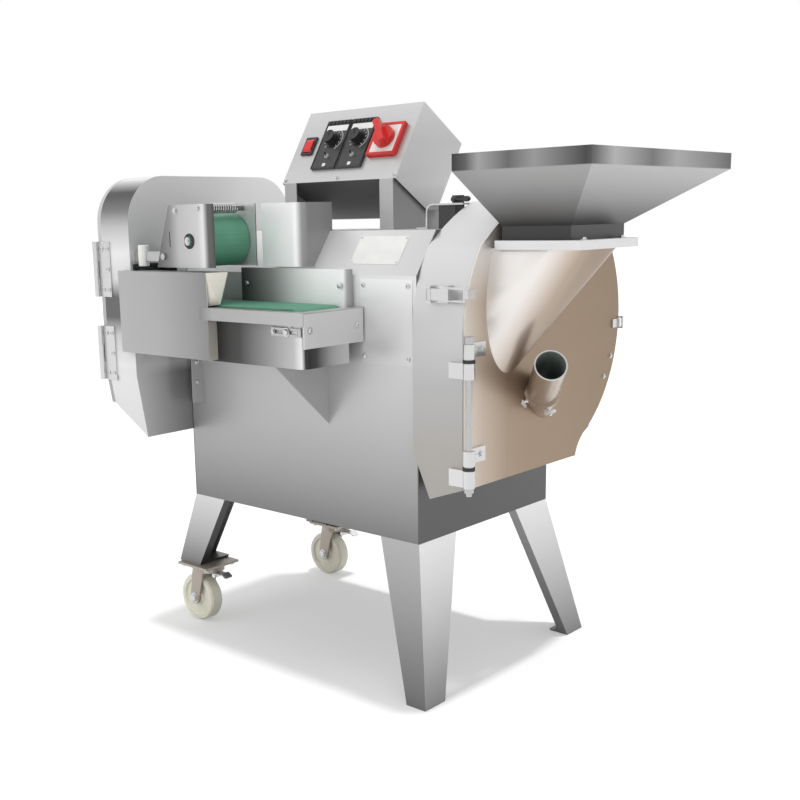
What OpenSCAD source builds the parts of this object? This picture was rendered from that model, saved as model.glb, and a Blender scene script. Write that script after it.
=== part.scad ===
// Vegetable dicer on a splayed stand: a belt-fed leaf cutter on the left and a hopper-fed
// bulb cutter on the right. Sizes are in millimetres.

/* [Cabinet] */
// Cabinet length from end to end
cab_len = 598; // [580:1:616]
// Cabinet depth from front to back
cab_depth = 408; // [396:1:424]
// Height of the cabinet floor above the ground
base_z = 276; // [262:1:290]
// Height where the sloped panel starts
slope_z = 741; // [736:1:746]
// Height of the flat top
top_z = 816; // [812:1:820]
// Depth of the sloped panel, front to back
slope_run = 54; // [46:1:62]
// Sheet thickness
sheet = 2; // [1.5:0.1:2.5]

/* [Stand] */
// Distance each foot stands out from the cabinet corner
splay = 56; // [44:1:62]
// Leg width on the long sides at the top
leg_top_w = 88; // [80:1:96]
// Leg width on the long sides at the floor
leg_foot_w = 42; // [36:1:50]
// Leg width on the end sides at the top
leg_end_top_w = 108; // [96:1:116]
// Leg width on the end sides at the floor
leg_end_foot_w = 56; // [48:1:64]
// Return lip along each leg edge
leg_lip = 20; // [14:1:24]
// Height of a caster from floor to leg plate
caster_h = 133; // [130:1:140]
// Caster wheel radius
wheel_r = 50; // [46:1:52]
// Caster wheel width
wheel_w = 30; // [26:1:34]
// Trail of the wheel behind its swivel
caster_trail = 25; // [20:1:30]

/* [Bulb head] */
// Distance of the drum axis behind the cabinet front
drum_y = 236; // [230:1:242]
// Height of the drum axis
drum_z = 646; // [640:1:652]
// Drum radius
drum_r = 250; // [246:1:252]
// Drum depth
drum_depth = 104; // [98:1:108]
// Height of the drum top at the cabinet
drum_flat_z = 862; // [856:1:866]
// Height of the bulb outlet edge
outlet_z = 392; // [384:1:400]
// Width of the bulb outlet
outlet_w = 347; // [340:1:352]
// Door plate thickness
door_t = 3; // [2:0.5:4]
// Cutting disc radius
bulb_disc_r = 182; // [176:1:186]
// Feed tube outer radius
tube_r = 27.5; // [25:0.5:29]
// Feed tube length
tube_len = 150; // [136:1:164]

/* [Hopper] */
// Hopper rim size along the machine
hopper_w = 252; // [244:1:256]
// Hopper rim size front to back
hopper_d = 475; // [460:1:480]
// Height of the hopper rim
hopper_z = 935; // [928:1:942]
// Height of the upright rim band
hopper_band = 27; // [22:1:30]

/* [Leaf head] */
// Housing depth along the machine
leaf_depth = 88; // [82:1:94]
// Housing width front to back
leaf_w = 440; // [434:1:446]
// Height of the housing top
leaf_top_z = 927; // [920:1:934]
// Radius of the housing top corners
leaf_corner_r = 90; // [80:1:100]
// Lid depth
lid_depth = 11.6; // [9:0.2:14]
// Knife sweep radius
leaf_disc_r = 185; // [175:1:190]

/* [Conveyor] */
// Belt width
belt_w = 106; // [98:1:108]
// Roller radius
roller_r = 20; // [18:0.5:21]
// Belt thickness
belt_t = 3; // [2:0.5:4]
// Height of the roller axes
roller_z = 666; // [662:1:668]
// Press roller radius
press_r = 47; // [43:1:48]

/* [Controls] */
// Control box width
ctl_w = 289; // [280:1:296]
// Control box face height
ctl_h = 162; // [156:1:168]
// Control box depth
ctl_d = 135; // [128:1:140]
// Backward tilt of the control face in degrees
ctl_tilt = 32; // [29:1:35]
// Speed knob radius
knob_r = 13; // [11:0.5:15]

/* [Fits] */
// Running clearance of a shaft in its bore
run_gap = 0.05; // [0.02:0.01:0.09]
// Gap between neighbouring moving pieces
move_gap = 0.4; // [0.3:0.1:0.6]

/* [Hidden] */
$fn = 64;
eps = 0.5;
far = 2000;

// Ends and faces of the cabinet
xl = -cab_len;
yb = cab_depth;
slope_dz = top_z - slope_z;
slope_l = sqrt(slope_dz * slope_dz + slope_run * slope_run);
slope_in_y = sheet * slope_dz / slope_l;
slope_in_z = slope_z - sheet * slope_run / slope_l;
bend_in_z = slope_in_z + (sheet - slope_in_y) * slope_dz / slope_run;
bend_in_y = slope_in_y + (top_z - sheet - slope_in_z) * slope_run / slope_dz;

// Access panel beside the conveyor
panel_x0 = 125;
panel_x1 = 10;
panel_t = 1.5;

// Bulb drum and its door
wall_y = drum_y - drum_r;
outlet_y1 = wall_y + outlet_w;
crown_r = 435;
crown_y = drum_y + 73.5;
crown_z = drum_z - 191;
door_top_z = drum_flat_z - 29;
fillet_r = 70;
fillet_y = outlet_y1 + fillet_r;
fillet_z = drum_z - sqrt(pow(drum_r + fillet_r, 2) - pow(fillet_y - drum_y, 2));
back_bend_z = outlet_z + 53;
back_lip_x = 35;
back_lip_z = outlet_z - 25;
door_x0 = drum_depth + move_gap;
door_x1 = door_x0 + door_t;
hinge_x = door_x1 + 10.7;
hinge_y = wall_y - 2;
hinge_r = 10;
pin_r = 5;

// Feed path on the door
flange_z = drum_z + 139;
flange_t = 5;
flange_x0 = door_x1 + 12;
flange_x1 = flange_x0 + 155;
flange_y0 = drum_y - 182;
flange_y1 = drum_y;
throat_x0 = flange_x0 + 3;
throat_x1 = flange_x1 - 24;
throat_y0 = flange_y0 + 14;
throat_y1 = flange_y1 - 2;
throat_top_z = flange_z + 35;
hop_x1 = 320;
hop_x0 = hop_x1 - hopper_w;
hop_y0 = 5;
hop_y1 = hop_y0 + hopper_d;
band_z = hopper_z - hopper_band;
tube_y = drum_y - 24.6;
tube_z = drum_z - 130.4;
tube_az = -50;
tube_el = 31;
tube_collar = 30;

// Leaf housing and its lid
leaf_y0 = -137;
leaf_y1 = leaf_y0 + leaf_w;
leaf_x1 = xl;
leaf_x0 = xl - leaf_depth;
leaf_cy = 95;
leaf_cz = 715;
leaf_low_z = 541;
leaf_out_z = 416;
leaf_out_rise = 63;
leaf_out_y0 = leaf_y0 + 20;
leaf_out_y1 = leaf_y1 - 178;
lid_x1 = leaf_x0 - move_gap;
lid_x0 = lid_x1 - lid_depth;
lid_low_z = leaf_out_z + leaf_out_rise + 1;
lid_pin_x = lid_x0 - 4;
lid_pin_y = leaf_y0 - 5;
lid_knuckle_r = 6;
lid_pin_r = 2.5;

// Conveyor
head_x = xl + 24;
tail_x = xl + 428;
belt_y1 = -23;
belt_y0 = belt_y1 - belt_w;
belt_in_r = roller_r + 0.3;
belt_out_r = belt_in_r + belt_t;
pan_y0 = belt_y0 - 4;
pan_y1 = belt_y1 + 4;
pan_x1 = tail_x + 31;
deck_z = roller_z + roller_r;
pan_z0 = deck_z - 98;
tray_y = pan_y0 - 19;
end_x = tail_x + 52;
feed_x0 = xl - 18;
feed_x1 = xl + 241;
feed_h = 62;
tray_x0 = feed_x1 - 22;
shaft_r = 8;
press_x = xl + 173;
press_z = deck_z + 117;
press_low_z = deck_z + 69;
press_top_z = deck_z + 183;
press_edge_x = press_x + 32;
pivot_x = press_x - 75;
pivot_z = press_z - 28;
pivot_r = 6;
cover_x0 = xl + 251;
cover_x1 = cover_x0 + 79;
cover_y0 = -22;
cover_low_z = deck_z + 68;
cover_top_z = press_top_z - 1;
guard_x0 = xl + 185;
guard_x1 = tail_x + 13;
guard_h = 65;
guard_bend_r = 14;
gusset_x = tail_x - 42;
gusset_z = pan_z0 - 119;
bracket_z = pan_z0 - 111;
plate_y0 = pan_y0 + 2;
plate_y1 = pan_y1 - 4;

// Control box
ctl_x0 = xl + 164;
ctl_y = 121;
ctl_z = 907;

// Whole-object middle, so the origin sits under the centre
latch_high = 12;
x_min = lid_pin_x - lid_knuckle_r;
x_max = hop_x1;
y_min = tray_y - sheet;
y_max = max(drum_y + drum_r + latch_high, yb + splay);
x_mid = (x_min + x_max) / 2;
y_mid = (y_min + y_max) / 2;

// Shared shapes
module place() {
    translate([-x_mid, -y_mid, 0]) children();
}

module box(x0, x1, y0, y1, z0, z1) {
    translate([x0, y0, z0]) cube([x1 - x0, y1 - y0, z1 - z0]);
}

module yz(x0, x1) {
    translate([x0, 0, 0]) rotate([90, 0, 90]) linear_extrude(x1 - x0) children();
}

module xz(y0, y1) {
    translate([0, y1, 0]) rotate([90, 0, 0]) linear_extrude(y1 - y0) children();
}

module rod_x(x0, x1, y, z, r) {
    translate([x0, y, z]) rotate([0, 90, 0]) cylinder(h = x1 - x0, r = r);
}

module rod_y(y0, y1, x, z, r) {
    translate([x, y0, z]) rotate([-90, 0, 0]) cylinder(h = y1 - y0, r = r);
}

module rod_z(z0, z1, x, y, r) {
    translate([x, y, z0]) cylinder(h = z1 - z0, r = r);
}

module steel() {
    color([0.74, 0.74, 0.73]) children();
}

module dark() {
    color([0.12, 0.12, 0.13]) children();
}

// Cabinet
module cabinet_outline() {
    polygon([[0, base_z], [0, slope_z], [slope_run, top_z], [yb, top_z], [yb, base_z]]);
}

module cabinet_wrap() {
    steel() place() difference() {
        yz(xl + sheet, -sheet) polygon([[0, base_z], [0, slope_z], [slope_run, top_z],
            [yb - sheet, top_z], [yb - sheet, top_z - sheet], [bend_in_y, top_z - sheet],
            [sheet, bend_in_z], [sheet, base_z]]);
        rod_y(-eps, sheet + eps, tail_x, roller_z, shaft_r + 3);
    }
}

module cabinet_ends() {
    steel() place() {
        difference() {
            yz(-sheet, 0) cabinet_outline();
            rod_x(-sheet - eps, eps, drum_y, drum_z, 40);
        }
        difference() {
            yz(xl, xl + sheet) cabinet_outline();
            rod_x(xl - eps, xl + sheet + eps, leaf_cy, leaf_cz, 40);
        }
    }
}

module rear_panel() {
    steel() place() difference() {
        box(xl + sheet, -sheet, yb - sheet, yb, base_z, top_z);
        for (i = [0 : 5]) {
            box(xl + 90, xl + 210, yb - sheet - eps, yb + eps, base_z + 90 + 16 * i, base_z + 97 + 16 * i);
            box(-210, -90, yb - sheet - eps, yb + eps, base_z + 90 + 16 * i, base_z + 97 + 16 * i);
        }
        rod_y(yb - sheet - eps, yb + eps, -60, base_z + 60, 11);
    }
}

module base_pan() {
    steel() place() difference() {
        box(xl + sheet, -sheet, sheet, yb - sheet, base_z, base_z + sheet);
        for (i = [-2 : 2]) {
            box(xl / 2 - 60, xl / 2 + 60, yb / 2 + 20 * i - 4, yb / 2 + 20 * i + 4, base_z - eps, base_z + 5);
        }
    }
}

module access_panel() {
    steel() place() box(-panel_x0, -panel_x1, -panel_t, 0, pan_z0, slope_z - 6);
}

// Legs, drawn for the front right corner and mirrored to the others
function leg_off(z) = splay * (base_z - z) / base_z;
function leg_w(z) = leg_top_w + (leg_foot_w - leg_top_w) * (base_z - z) / base_z;
function leg_ew(z) = leg_end_top_w + (leg_end_foot_w - leg_end_top_w) * (base_z - z) / base_z;

function leg_rect(z, i) = [leg_off(z) - leg_w(z) + i, leg_off(z) - i, i - leg_off(z), leg_ew(z) - leg_off(z) - i];
function leg_open(z) = [leg_off(z) - leg_w(z) - 5, leg_off(z) - leg_lip, leg_lip - leg_off(z),
    leg_ew(z) - leg_off(z) + 5];

// Straight taper between a rectangle a at height z0 and a rectangle b at height z1
module taper(z0, z1, a, b) {
    polyhedron([[a[0], a[2], z0], [a[1], a[2], z0], [a[1], a[3], z0], [a[0], a[3], z0],
        [b[0], b[2], z1], [b[1], b[2], z1], [b[1], b[3], z1], [b[0], b[3], z1]],
        [[0, 1, 2, 3], [4, 7, 6, 5], [0, 4, 5, 1], [1, 5, 6, 2], [2, 6, 7, 3], [3, 7, 4, 0]]);
}

module leg(z) {
    union() {
        difference() {
            taper(z, base_z, leg_rect(z, 0), leg_rect(base_z, 0));
            taper(z - 1, base_z + 1, leg_rect(z - 1, sheet), leg_rect(base_z + 1, sheet));
            taper(z - 1, base_z + 1, leg_open(z - 1), leg_open(base_z + 1));
        }
        taper(base_z - 3, base_z, leg_rect(base_z - 3, 1), leg_rect(base_z, 1));
        taper(z, z + 4, leg_rect(z, 1), leg_rect(z + 4, 1));
    }
}

module fixed_legs() {
    steel() place() {
        leg(0);
        translate([0, yb, 0]) mirror([0, 1, 0]) leg(0);
    }
}

module caster_legs() {
    steel() place() translate([xl, 0, 0]) mirror([1, 0, 0]) {
        leg(caster_h);
        translate([0, yb, 0]) mirror([0, 1, 0]) leg(caster_h);
    }
}

// Casters
plate_h = 5;
king_r = 8;
crown_t = 14;
axle_r = 6;
fork_in = wheel_w / 2 + 2;
caster_x = xl + 23;
caster_yf = 4;
caster_yr = yb - 4;

module caster_plate(y) {
    z1 = caster_h - plate_h;
    z2 = z1 - 2 * move_gap - crown_t;
    box(caster_x - 45, caster_x + 45, y - 45, y + 45, z1, caster_h);
    rod_z(z2 - 4, z1, caster_x, y, king_r);
    rod_z(z2 - 5, z2, caster_x, y, king_r + 5);
}

module caster_plates() {
    steel() place() {
        caster_plate(caster_yf);
        caster_plate(caster_yr);
    }
}

module caster_fork(y) {
    z1 = caster_h - plate_h - move_gap;
    xa = caster_x - caster_trail;
    steel() place() difference() {
        union() {
            rod_z(z1 - crown_t, z1, caster_x, y, 34);
            for (s = [-1, 1]) {
                yc = y + s * (fork_in + 2);
                xz(yc - 2, yc + 2) polygon([[caster_x + 6, z1 - crown_t + 3], [caster_x - 28, z1 - crown_t + 3],
                    [xa - 13, wheel_r], [xa + 13, wheel_r]]);
                rod_y(yc - 2, yc + 2, xa, wheel_r, 13);
            }
            rod_y(y - fork_in - 9, y + fork_in + 9, xa, wheel_r, axle_r);
        }
        rod_z(z1 - crown_t - eps, z1 + eps, caster_x, y, king_r + run_gap);
    }
}

module caster_wheel(y) {
    w = wheel_w / 2;
    color([0.90, 0.86, 0.72]) place() translate([caster_x - caster_trail, y, wheel_r]) rotate([-90, 0, 0])
        rotate_extrude($fn = 96) polygon([[axle_r + run_gap, -w], [15, -w], [17, 4 - w], [wheel_r - 14, 4 - w],
            [wheel_r - 11, -w], [wheel_r - 3, -w], [wheel_r, 4 - w], [wheel_r, w - 4], [wheel_r - 3, w],
            [wheel_r - 11, w], [wheel_r - 14, w - 4], [17, w - 4], [15, w], [axle_r + run_gap, w]]);
}

module caster_fork_front() {
    caster_fork(caster_yf);
}

module caster_wheel_front() {
    caster_wheel(caster_yf);
}

module caster_fork_rear() {
    caster_fork(caster_yr);
}

module caster_wheel_rear() {
    caster_wheel(caster_yr);
}

// Leaf cutter housing
module leaf_outline(i) {
    ra = leaf_corner_r;
    fall = leaf_low_z - leaf_out_z;
    left_run = leaf_out_y0 - leaf_y0;
    right_run = leaf_y1 - leaf_out_y1;
    left_in = i * sqrt(fall * fall + left_run * left_run) / fall;
    right_in = i * sqrt(fall * fall + right_run * right_run) / fall;
    polygon([[leaf_y0 + i, leaf_top_z - ra], [leaf_y0 + i, leaf_low_z + (left_in - i) * fall / left_run],
        [leaf_out_y0 + left_in + i * left_run / fall, leaf_out_z - i],
        [leaf_out_y1 - right_in - i * right_run / fall, leaf_out_z - i],
        [leaf_y1 - i, leaf_low_z + (right_in - i) * fall / right_run], [leaf_y1 - i, leaf_top_z - ra]]);
    translate([leaf_y0 + ra, leaf_cz]) square([leaf_w - 2 * ra, leaf_top_z - i - leaf_cz]);
    translate([leaf_y0 + ra, leaf_top_z - ra]) circle(ra - i);
    translate([leaf_y1 - ra, leaf_top_z - ra]) circle(ra - i);
}

module leaf_housing() {
    steel() place() difference() {
        yz(leaf_x0, leaf_x1) leaf_outline(0);
        yz(leaf_x0 - eps, leaf_x1 - sheet) leaf_outline(sheet);
        box(leaf_x1 - sheet - eps, leaf_x1 + eps, belt_y0 - 2, belt_y1 + 2, deck_z + 4, pivot_z - 15);
        rod_x(leaf_x1 - sheet - eps, leaf_x1 + eps, leaf_cy, leaf_cz, 20);
        xz(leaf_y0 - 10, leaf_y1) polygon([[leaf_x1 + eps, leaf_out_z - 40], [leaf_x1 + eps, leaf_out_z],
            [leaf_x0 - eps, leaf_out_z + leaf_out_rise], [leaf_x0 - eps, leaf_out_z - 40]]);
    }
}

// Butt hinges of the lid
hinge_lo = [leaf_low_z - 12, leaf_cz - 20];
hinge_leaf_h = 108;
hinge_third = hinge_leaf_h / 3;

module leaf_hinge() {
    steel() place() for (z = hinge_lo) {
        union() {
            box(lid_pin_x, leaf_x0 + 26, leaf_y0 - 2.4, leaf_y0, z, z + hinge_third);
            box(lid_pin_x + lid_knuckle_r + 1, leaf_x0 + 26, leaf_y0 - 2.4, leaf_y0, z, z + hinge_leaf_h);
            box(lid_pin_x, leaf_x0 + 26, leaf_y0 - 2.4, leaf_y0, z + 2 * hinge_third, z + hinge_leaf_h);
            rod_z(z, z + hinge_third, lid_pin_x, lid_pin_y, lid_knuckle_r);
            rod_z(z + 2 * hinge_third, z + hinge_leaf_h, lid_pin_x, lid_pin_y, lid_knuckle_r);
            rod_z(z, z + hinge_leaf_h, lid_pin_x, lid_pin_y, lid_pin_r);
        }
    }
}

module leaf_lid() {
    steel() place() difference() {
        intersection() {
            yz(lid_x0, lid_x1) leaf_outline(1);
            box(lid_x0 - eps, lid_x1 + eps, leaf_y0, leaf_y1, lid_low_z, far);
        }
        intersection() {
            yz(lid_x0 + sheet, lid_x1 + eps) leaf_outline(1 + sheet);
            box(lid_x0, lid_x1 + 1, leaf_y0, leaf_y1, lid_low_z + sheet, far);
        }
    }
}

module lid_hinge() {
    steel() place() {
        for (z = hinge_lo) {
            difference() {
                union() {
                    box(lid_x0 - 2, lid_x0, leaf_y0 + 2, leaf_y0 + 38, z, z + hinge_leaf_h);
                    box(lid_x0 - 4, lid_x0, leaf_y0 - 5, leaf_y0 + 3, z + hinge_third + move_gap,
                        z + 2 * hinge_third - move_gap);
                    rod_z(z + hinge_third + move_gap, z + 2 * hinge_third - move_gap, lid_pin_x, lid_pin_y,
                        lid_knuckle_r);
                }
                rod_z(z, z + hinge_leaf_h, lid_pin_x, lid_pin_y, lid_pin_r + run_gap);
            }
        }
        difference() {
            box(lid_x0 + 1, lid_x1 - 1, leaf_y1 - 1, leaf_y1 + 5, latch_zl - 16, latch_zl + 16);
            box(lid_x0, lid_x1 - 5, leaf_y1 + 2, leaf_y1 + 6, latch_zl - 17, latch_zl + 17);
        }
    }
}

// Curved knives of the leaf cutter
module leaf_knives() {
    kx = leaf_x0 + 30;
    color([0.82, 0.82, 0.83]) place() difference() {
        union() {
            rod_x(kx - 10, kx + 14, leaf_cy, leaf_cz, 42);
            for (a = [0, 180]) {
                translate([kx, leaf_cy, leaf_cz]) rotate([a, 0, 0]) yz(0, 5) difference() {
                    intersection() {
                        circle(leaf_disc_r);
                        translate([92, 40]) circle(132);
                        translate([0, 10]) square([leaf_disc_r, leaf_disc_r]);
                    }
                    translate([110, -24]) circle(82);
                }
                translate([kx, leaf_cy, leaf_cz]) rotate([a, 0, 0]) box(-3, 8, 10, 46, 8, 60);
            }
        }
        rod_x(kx - 11, kx + 15, leaf_cy, leaf_cz, 15);
    }
}

module leaf_shaft() {
    kx = leaf_x0 + 30;
    color([0.62, 0.62, 0.63]) place() {
        rod_x(kx - 10, leaf_x1 + 200, leaf_cy, leaf_cz, 15);
        rod_x(kx - 18, kx - 10, leaf_cy, leaf_cz, 22);
    }
}

// Bulb cutter drum
module drum_outline(i) {
    low = outlet_z - 60;
    difference() {
        union() {
            intersection() {
                translate([drum_y, drum_z]) circle(drum_r - i, $fn = 128);
                translate([crown_y, crown_z]) circle(crown_r - i, $fn = 256);
            }
            translate([wall_y + i, low]) square([outlet_w - 2 * i, drum_z - low]);
            difference() {
                translate([outlet_y1 - 40, low]) square([fillet_y - outlet_y1 + 20, drum_z - low - 120]);
                translate([fillet_y, fillet_z]) circle(fillet_r + i, $fn = 128);
                translate([fillet_y - 0.01, low - 1]) square([100, 400]);
                translate([outlet_y1 - i, low - 1]) square([fillet_r + i, fillet_z - low + 1]);
            }
        }
        translate([drum_y, drum_z]) rotate(-45) translate([drum_r + 0.01, -drum_r]) square([200, 2 * drum_r]);
    }
}

module bulb_drum() {
    steel() place() difference() {
        intersection() {
            yz(0, drum_depth) drum_outline(0);
            xz(wall_y - 5, drum_y + drum_r + 5) polygon([[0, drum_flat_z], [0, back_bend_z],
                [back_lip_x, back_lip_z], [drum_depth, outlet_z], [drum_depth, door_top_z]]);
        }
        intersection() {
            yz(sheet, drum_depth + eps) drum_outline(sheet);
            xz(wall_y, drum_y + drum_r) polygon([[sheet, drum_flat_z - 2 * sheet], [sheet, back_bend_z + 1],
                [back_lip_x + 3, back_lip_z - 1], [drum_depth + eps, back_lip_z - 1],
                [drum_depth + eps, door_top_z - 2 * sheet]]);
        }
        rod_x(-eps, sheet + eps, drum_y, drum_z, 20);
    }
}

// Door hinge, with the drum brackets low and the door brackets above each of them
drum_knuckles = [[outlet_z + 7, outlet_z + 36], [drum_z - 67, drum_z - 41]];
door_knuckles = [[outlet_z + 44, outlet_z + 69], [drum_z - 34, drum_z - 10]];

module drum_hinge() {
    steel() place() for (k = drum_knuckles) {
        difference() {
            union() {
                rod_z(k[0], k[1], hinge_x, hinge_y, hinge_r);
                box(drum_depth - 24, hinge_x, wall_y - 6, wall_y, k[0], k[1]);
            }
            rod_z(k[0] - eps, k[1] + eps, hinge_x, hinge_y, pin_r + run_gap);
        }
    }
}

module drum_pin() {
    color([0.66, 0.66, 0.66]) place() {
        rod_z(drum_knuckles[0][0] - 14, door_knuckles[1][1] + move_gap, hinge_x, hinge_y, pin_r);
        rod_z(door_knuckles[1][1] + move_gap, door_knuckles[1][1] + 12, hinge_x, hinge_y, 8);
        rod_z(drum_knuckles[0][0] - 8, drum_knuckles[0][0], hinge_x, hinge_y, 8);
        for (i = [0, 1]) {
            rod_z(drum_knuckles[i][1], door_knuckles[i][0] - move_gap, hinge_x, hinge_y, 8.5);
        }
    }
}

module tube_axis() {
    translate([door_x1, tube_y, tube_z]) rotate([0, 90 - tube_el, tube_az]) children();
}

module bulb_door() {
    color([0.72, 0.68, 0.62]) place() difference() {
        intersection() {
            yz(door_x0, door_x1) drum_outline(0);
            box(door_x0 - eps, door_x1 + eps, wall_y + 1, far, outlet_z, door_top_z);
        }
        yz(door_x0 - eps, door_x1 + eps)
            polygon([[flange_y0 + 18, flange_z - 14], [flange_y1 - 31, flange_z - 14], [flange_y0 + 71, drum_z - 30],
                [flange_y0 + 18, drum_z + 44]]);
        tube_axis() translate([0, 0, -70]) cylinder(h = 140, r = tube_r - sheet);
    }
}

module door_hinge() {
    steel() place() for (k = door_knuckles) {
        difference() {
            union() {
                rod_z(k[0], k[1], hinge_x, hinge_y, hinge_r);
                box(door_x1, door_x1 + 4, hinge_y, 40, k[0], k[1]);
            }
            rod_z(k[0] - eps, k[1] + eps, hinge_x, hinge_y, pin_r + run_gap);
        }
    }
}

latch_zf = drum_z + 68;
latch_zb = drum_z - 17;
latch_zl = leaf_cz - 19;
latch_x = 34;

module door_catches() {
    steel() place() {
        box(door_x1, door_x1 + 3, wall_y + 1, 12, latch_zf - 8, latch_zf + 8);
        box(door_x1 + 3, door_x1 + 6, wall_y + 1, wall_y + 6, latch_zf - 8, latch_zf + 8);
        box(door_x1, door_x1 + 3, drum_y + drum_r - 26, drum_y + drum_r - 2, latch_zb - 8, latch_zb + 8);
        box(door_x1 + 3, door_x1 + 6, drum_y + drum_r - 7, drum_y + drum_r - 2, latch_zb - 8, latch_zb + 8);
    }
}

// Sheet scoop that carries the feed from the hopper into the door. It runs from the square flange
// to a leaning oval on the door, with a long crease on its right side.
scoop_y = flange_y0 + 58;
scoop_z = drum_z + 44;
scoop_ry = 66;
scoop_rz = 117;
crease_y = drum_y + 158;
crease_z = drum_z + 123;
scoop_corner_r = 46;

module scoop_form(i) {
    hull() {
        for (y = [flange_y0 + 8 + scoop_corner_r, flange_y1 - 4 - scoop_corner_r]) {
            translate([flange_x1 - 16 - scoop_corner_r, y, flange_z - 2])
                cylinder(h = 2, r = scoop_corner_r - i, $fn = 48);
        }
        box(door_x1, flange_x0 + 40, flange_y0 + 8 + i, flange_y1 - 4 - i, flange_z - 2, flange_z);
        translate([door_x1 - 1, scoop_y, scoop_z]) rotate([90, 0, 90]) scale([1, scoop_rz / scoop_ry, 1])
            cylinder(h = 8, r1 = scoop_ry - i, r2 = scoop_ry - 6 - i, $fn = 64);
        rod_x(door_x1 - 1, door_x1 + 4 - i, crease_y, crease_z, 5 - i);
    }
}

module feed_scoop() {
    color([0.74, 0.70, 0.64]) place() difference() {
        intersection() {
            scoop_form(0);
            box(door_x1, far, -far, far, 0, flange_z);
        }
        intersection() {
            scoop_form(sheet);
            box(-far, far, -far, far, 0, flange_z - sheet);
        }
        box(throat_x0 + sheet, throat_x1 - sheet, throat_y0 + sheet, throat_y1 - sheet, flange_z - 3, flange_z + 1);
    }
}

module feed_tube() {
    color([0.78, 0.77, 0.74]) place() difference() {
        tube_axis() union() {
            translate([0, 0, -60]) cylinder(h = tube_len + 60, r = tube_r);
            translate([0, 0, tube_collar]) cylinder(h = 12, r = tube_r + 5);
        }
        tube_axis() translate([0, 0, -70]) cylinder(h = tube_len + 80, r = tube_r - sheet);
        box(-far, door_x1, -far, far, 0, far);
    }
}

module hopper_flange() {
    steel() place() difference() {
        box(flange_x0, flange_x1, flange_y0, flange_y1, flange_z, flange_z + flange_t);
        box(throat_x0 + sheet, throat_x1 - sheet, throat_y0 + sheet, throat_y1 - sheet, flange_z - 1,
            flange_z + flange_t + 1);
    }
}

module hopper_form(i) {
    union() {
        box(throat_x0 + i, throat_x1 - i, throat_y0 + i, throat_y1 - i, flange_z + flange_t - i / 2, throat_top_z);
        hull() {
            box(throat_x0 + i, throat_x1 - i, throat_y0 + i, throat_y1 - i, throat_top_z - 0.2, throat_top_z);
            box(hop_x0 + i, hop_x1 - i, hop_y0 + i, hop_y1 - i, band_z, band_z + 0.2);
        }
        box(hop_x0 + i, hop_x1 - i, hop_y0 + i, hop_y1 - i, band_z, hopper_z + i / 2);
    }
}

module hopper() {
    steel() place() difference() {
        hopper_form(0);
        hopper_form(sheet);
    }
}

// Slicing disc of the bulb cutter
module bulb_disc() {
    x0 = drum_depth - 30;
    color([0.80, 0.80, 0.81]) place() difference() {
        union() {
            rod_x(x0, x0 + 6, drum_y, drum_z, bulb_disc_r);
            rod_x(x0 - 22, x0 + 10, drum_y, drum_z, 36);
            for (a = [0, 120, 240]) {
                translate([x0 + 6, drum_y, drum_z]) rotate([a, 0, 0]) box(0, 4, 60, bulb_disc_r - 14, 8, 34);
            }
        }
        for (a = [0, 120, 240]) {
            translate([x0, drum_y, drum_z]) rotate([a, 0, 0]) box(-1, 7, 58, bulb_disc_r - 12, -4, 8);
        }
        rod_x(x0 - 23, x0 + 11, drum_y, drum_z, 15);
    }
}

module bulb_shaft() {
    x0 = drum_depth - 30;
    color([0.62, 0.62, 0.63]) place() {
        rod_x(-190, x0 + 10, drum_y, drum_z, 15);
        rod_x(x0 + 10, x0 + 18, drum_y, drum_z, 22);
    }
}

// Bail latches, drawn along +X on a wall facing -Y
latch_pin_u = 8;
latch_pin_w = 7.5;
latch_pin_r = 2.5;
latch_barrel_r = 4.5;

module latch_base() {
    union() {
        box(0, 42, -2.5, 0, -14, 14);
        for (s = [-1, 1]) {
            box(2, 14, -latch_high, -2.5, s * 12 - 2, s * 12 + 2);
        }
        rod_z(-14, 14, latch_pin_u, -latch_pin_w, latch_pin_r);
    }
}

module latch_lever() {
    difference() {
        union() {
            rod_z(move_gap - 10, 10 - move_gap, latch_pin_u, -latch_pin_w, latch_barrel_r);
            box(latch_pin_u, 50, -latch_pin_w - 1.5, -latch_pin_w + 1.5, move_gap - 10, 10 - move_gap);
            for (s = [-1, 1]) {
                rod_x(30, 78, -latch_pin_w, s * 10, 2);
            }
            rod_z(-12, 12, 78, -latch_pin_w, 2);
            box(44, 50, -latch_high, -latch_pin_w, -9, 9);
        }
        rod_z(-20, 20, latch_pin_u, -latch_pin_w, latch_pin_r + run_gap);
    }
}

module at_front_latch() {
    translate([latch_x, wall_y, latch_zf]) children();
}

module at_back_latch() {
    translate([latch_x, drum_y + drum_r, latch_zb]) mirror([0, 1, 0]) children();
}

module at_lid_latch() {
    translate([leaf_x0 + 58, leaf_y1, latch_zl]) mirror([1, 0, 0]) mirror([0, 1, 0]) children();
}

module latch_bases() {
    steel() place() {
        difference() {
            union() {
                at_front_latch() latch_base();
                at_back_latch() latch_base();
                box(latch_x, latch_x + 42, wall_y, wall_y + 20, latch_zf - 14, latch_zf + 14);
                box(latch_x, latch_x + 42, drum_y + drum_r - 2, drum_y + drum_r, latch_zb - 14, latch_zb + 14);
            }
            translate([-1, drum_y, drum_z]) rotate([0, 90, 0]) cylinder(h = drum_depth, r = drum_r, $fn = 360);
        }
        at_lid_latch() latch_base();
    }
}

module latch_front() {
    steel() place() at_front_latch() latch_lever();
}

module latch_back() {
    steel() place() at_back_latch() latch_lever();
}

module latch_lid() {
    steel() place() at_lid_latch() latch_lever();
}

// Conveyor pan with a rounded front corner
corner_r = 15;

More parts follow.
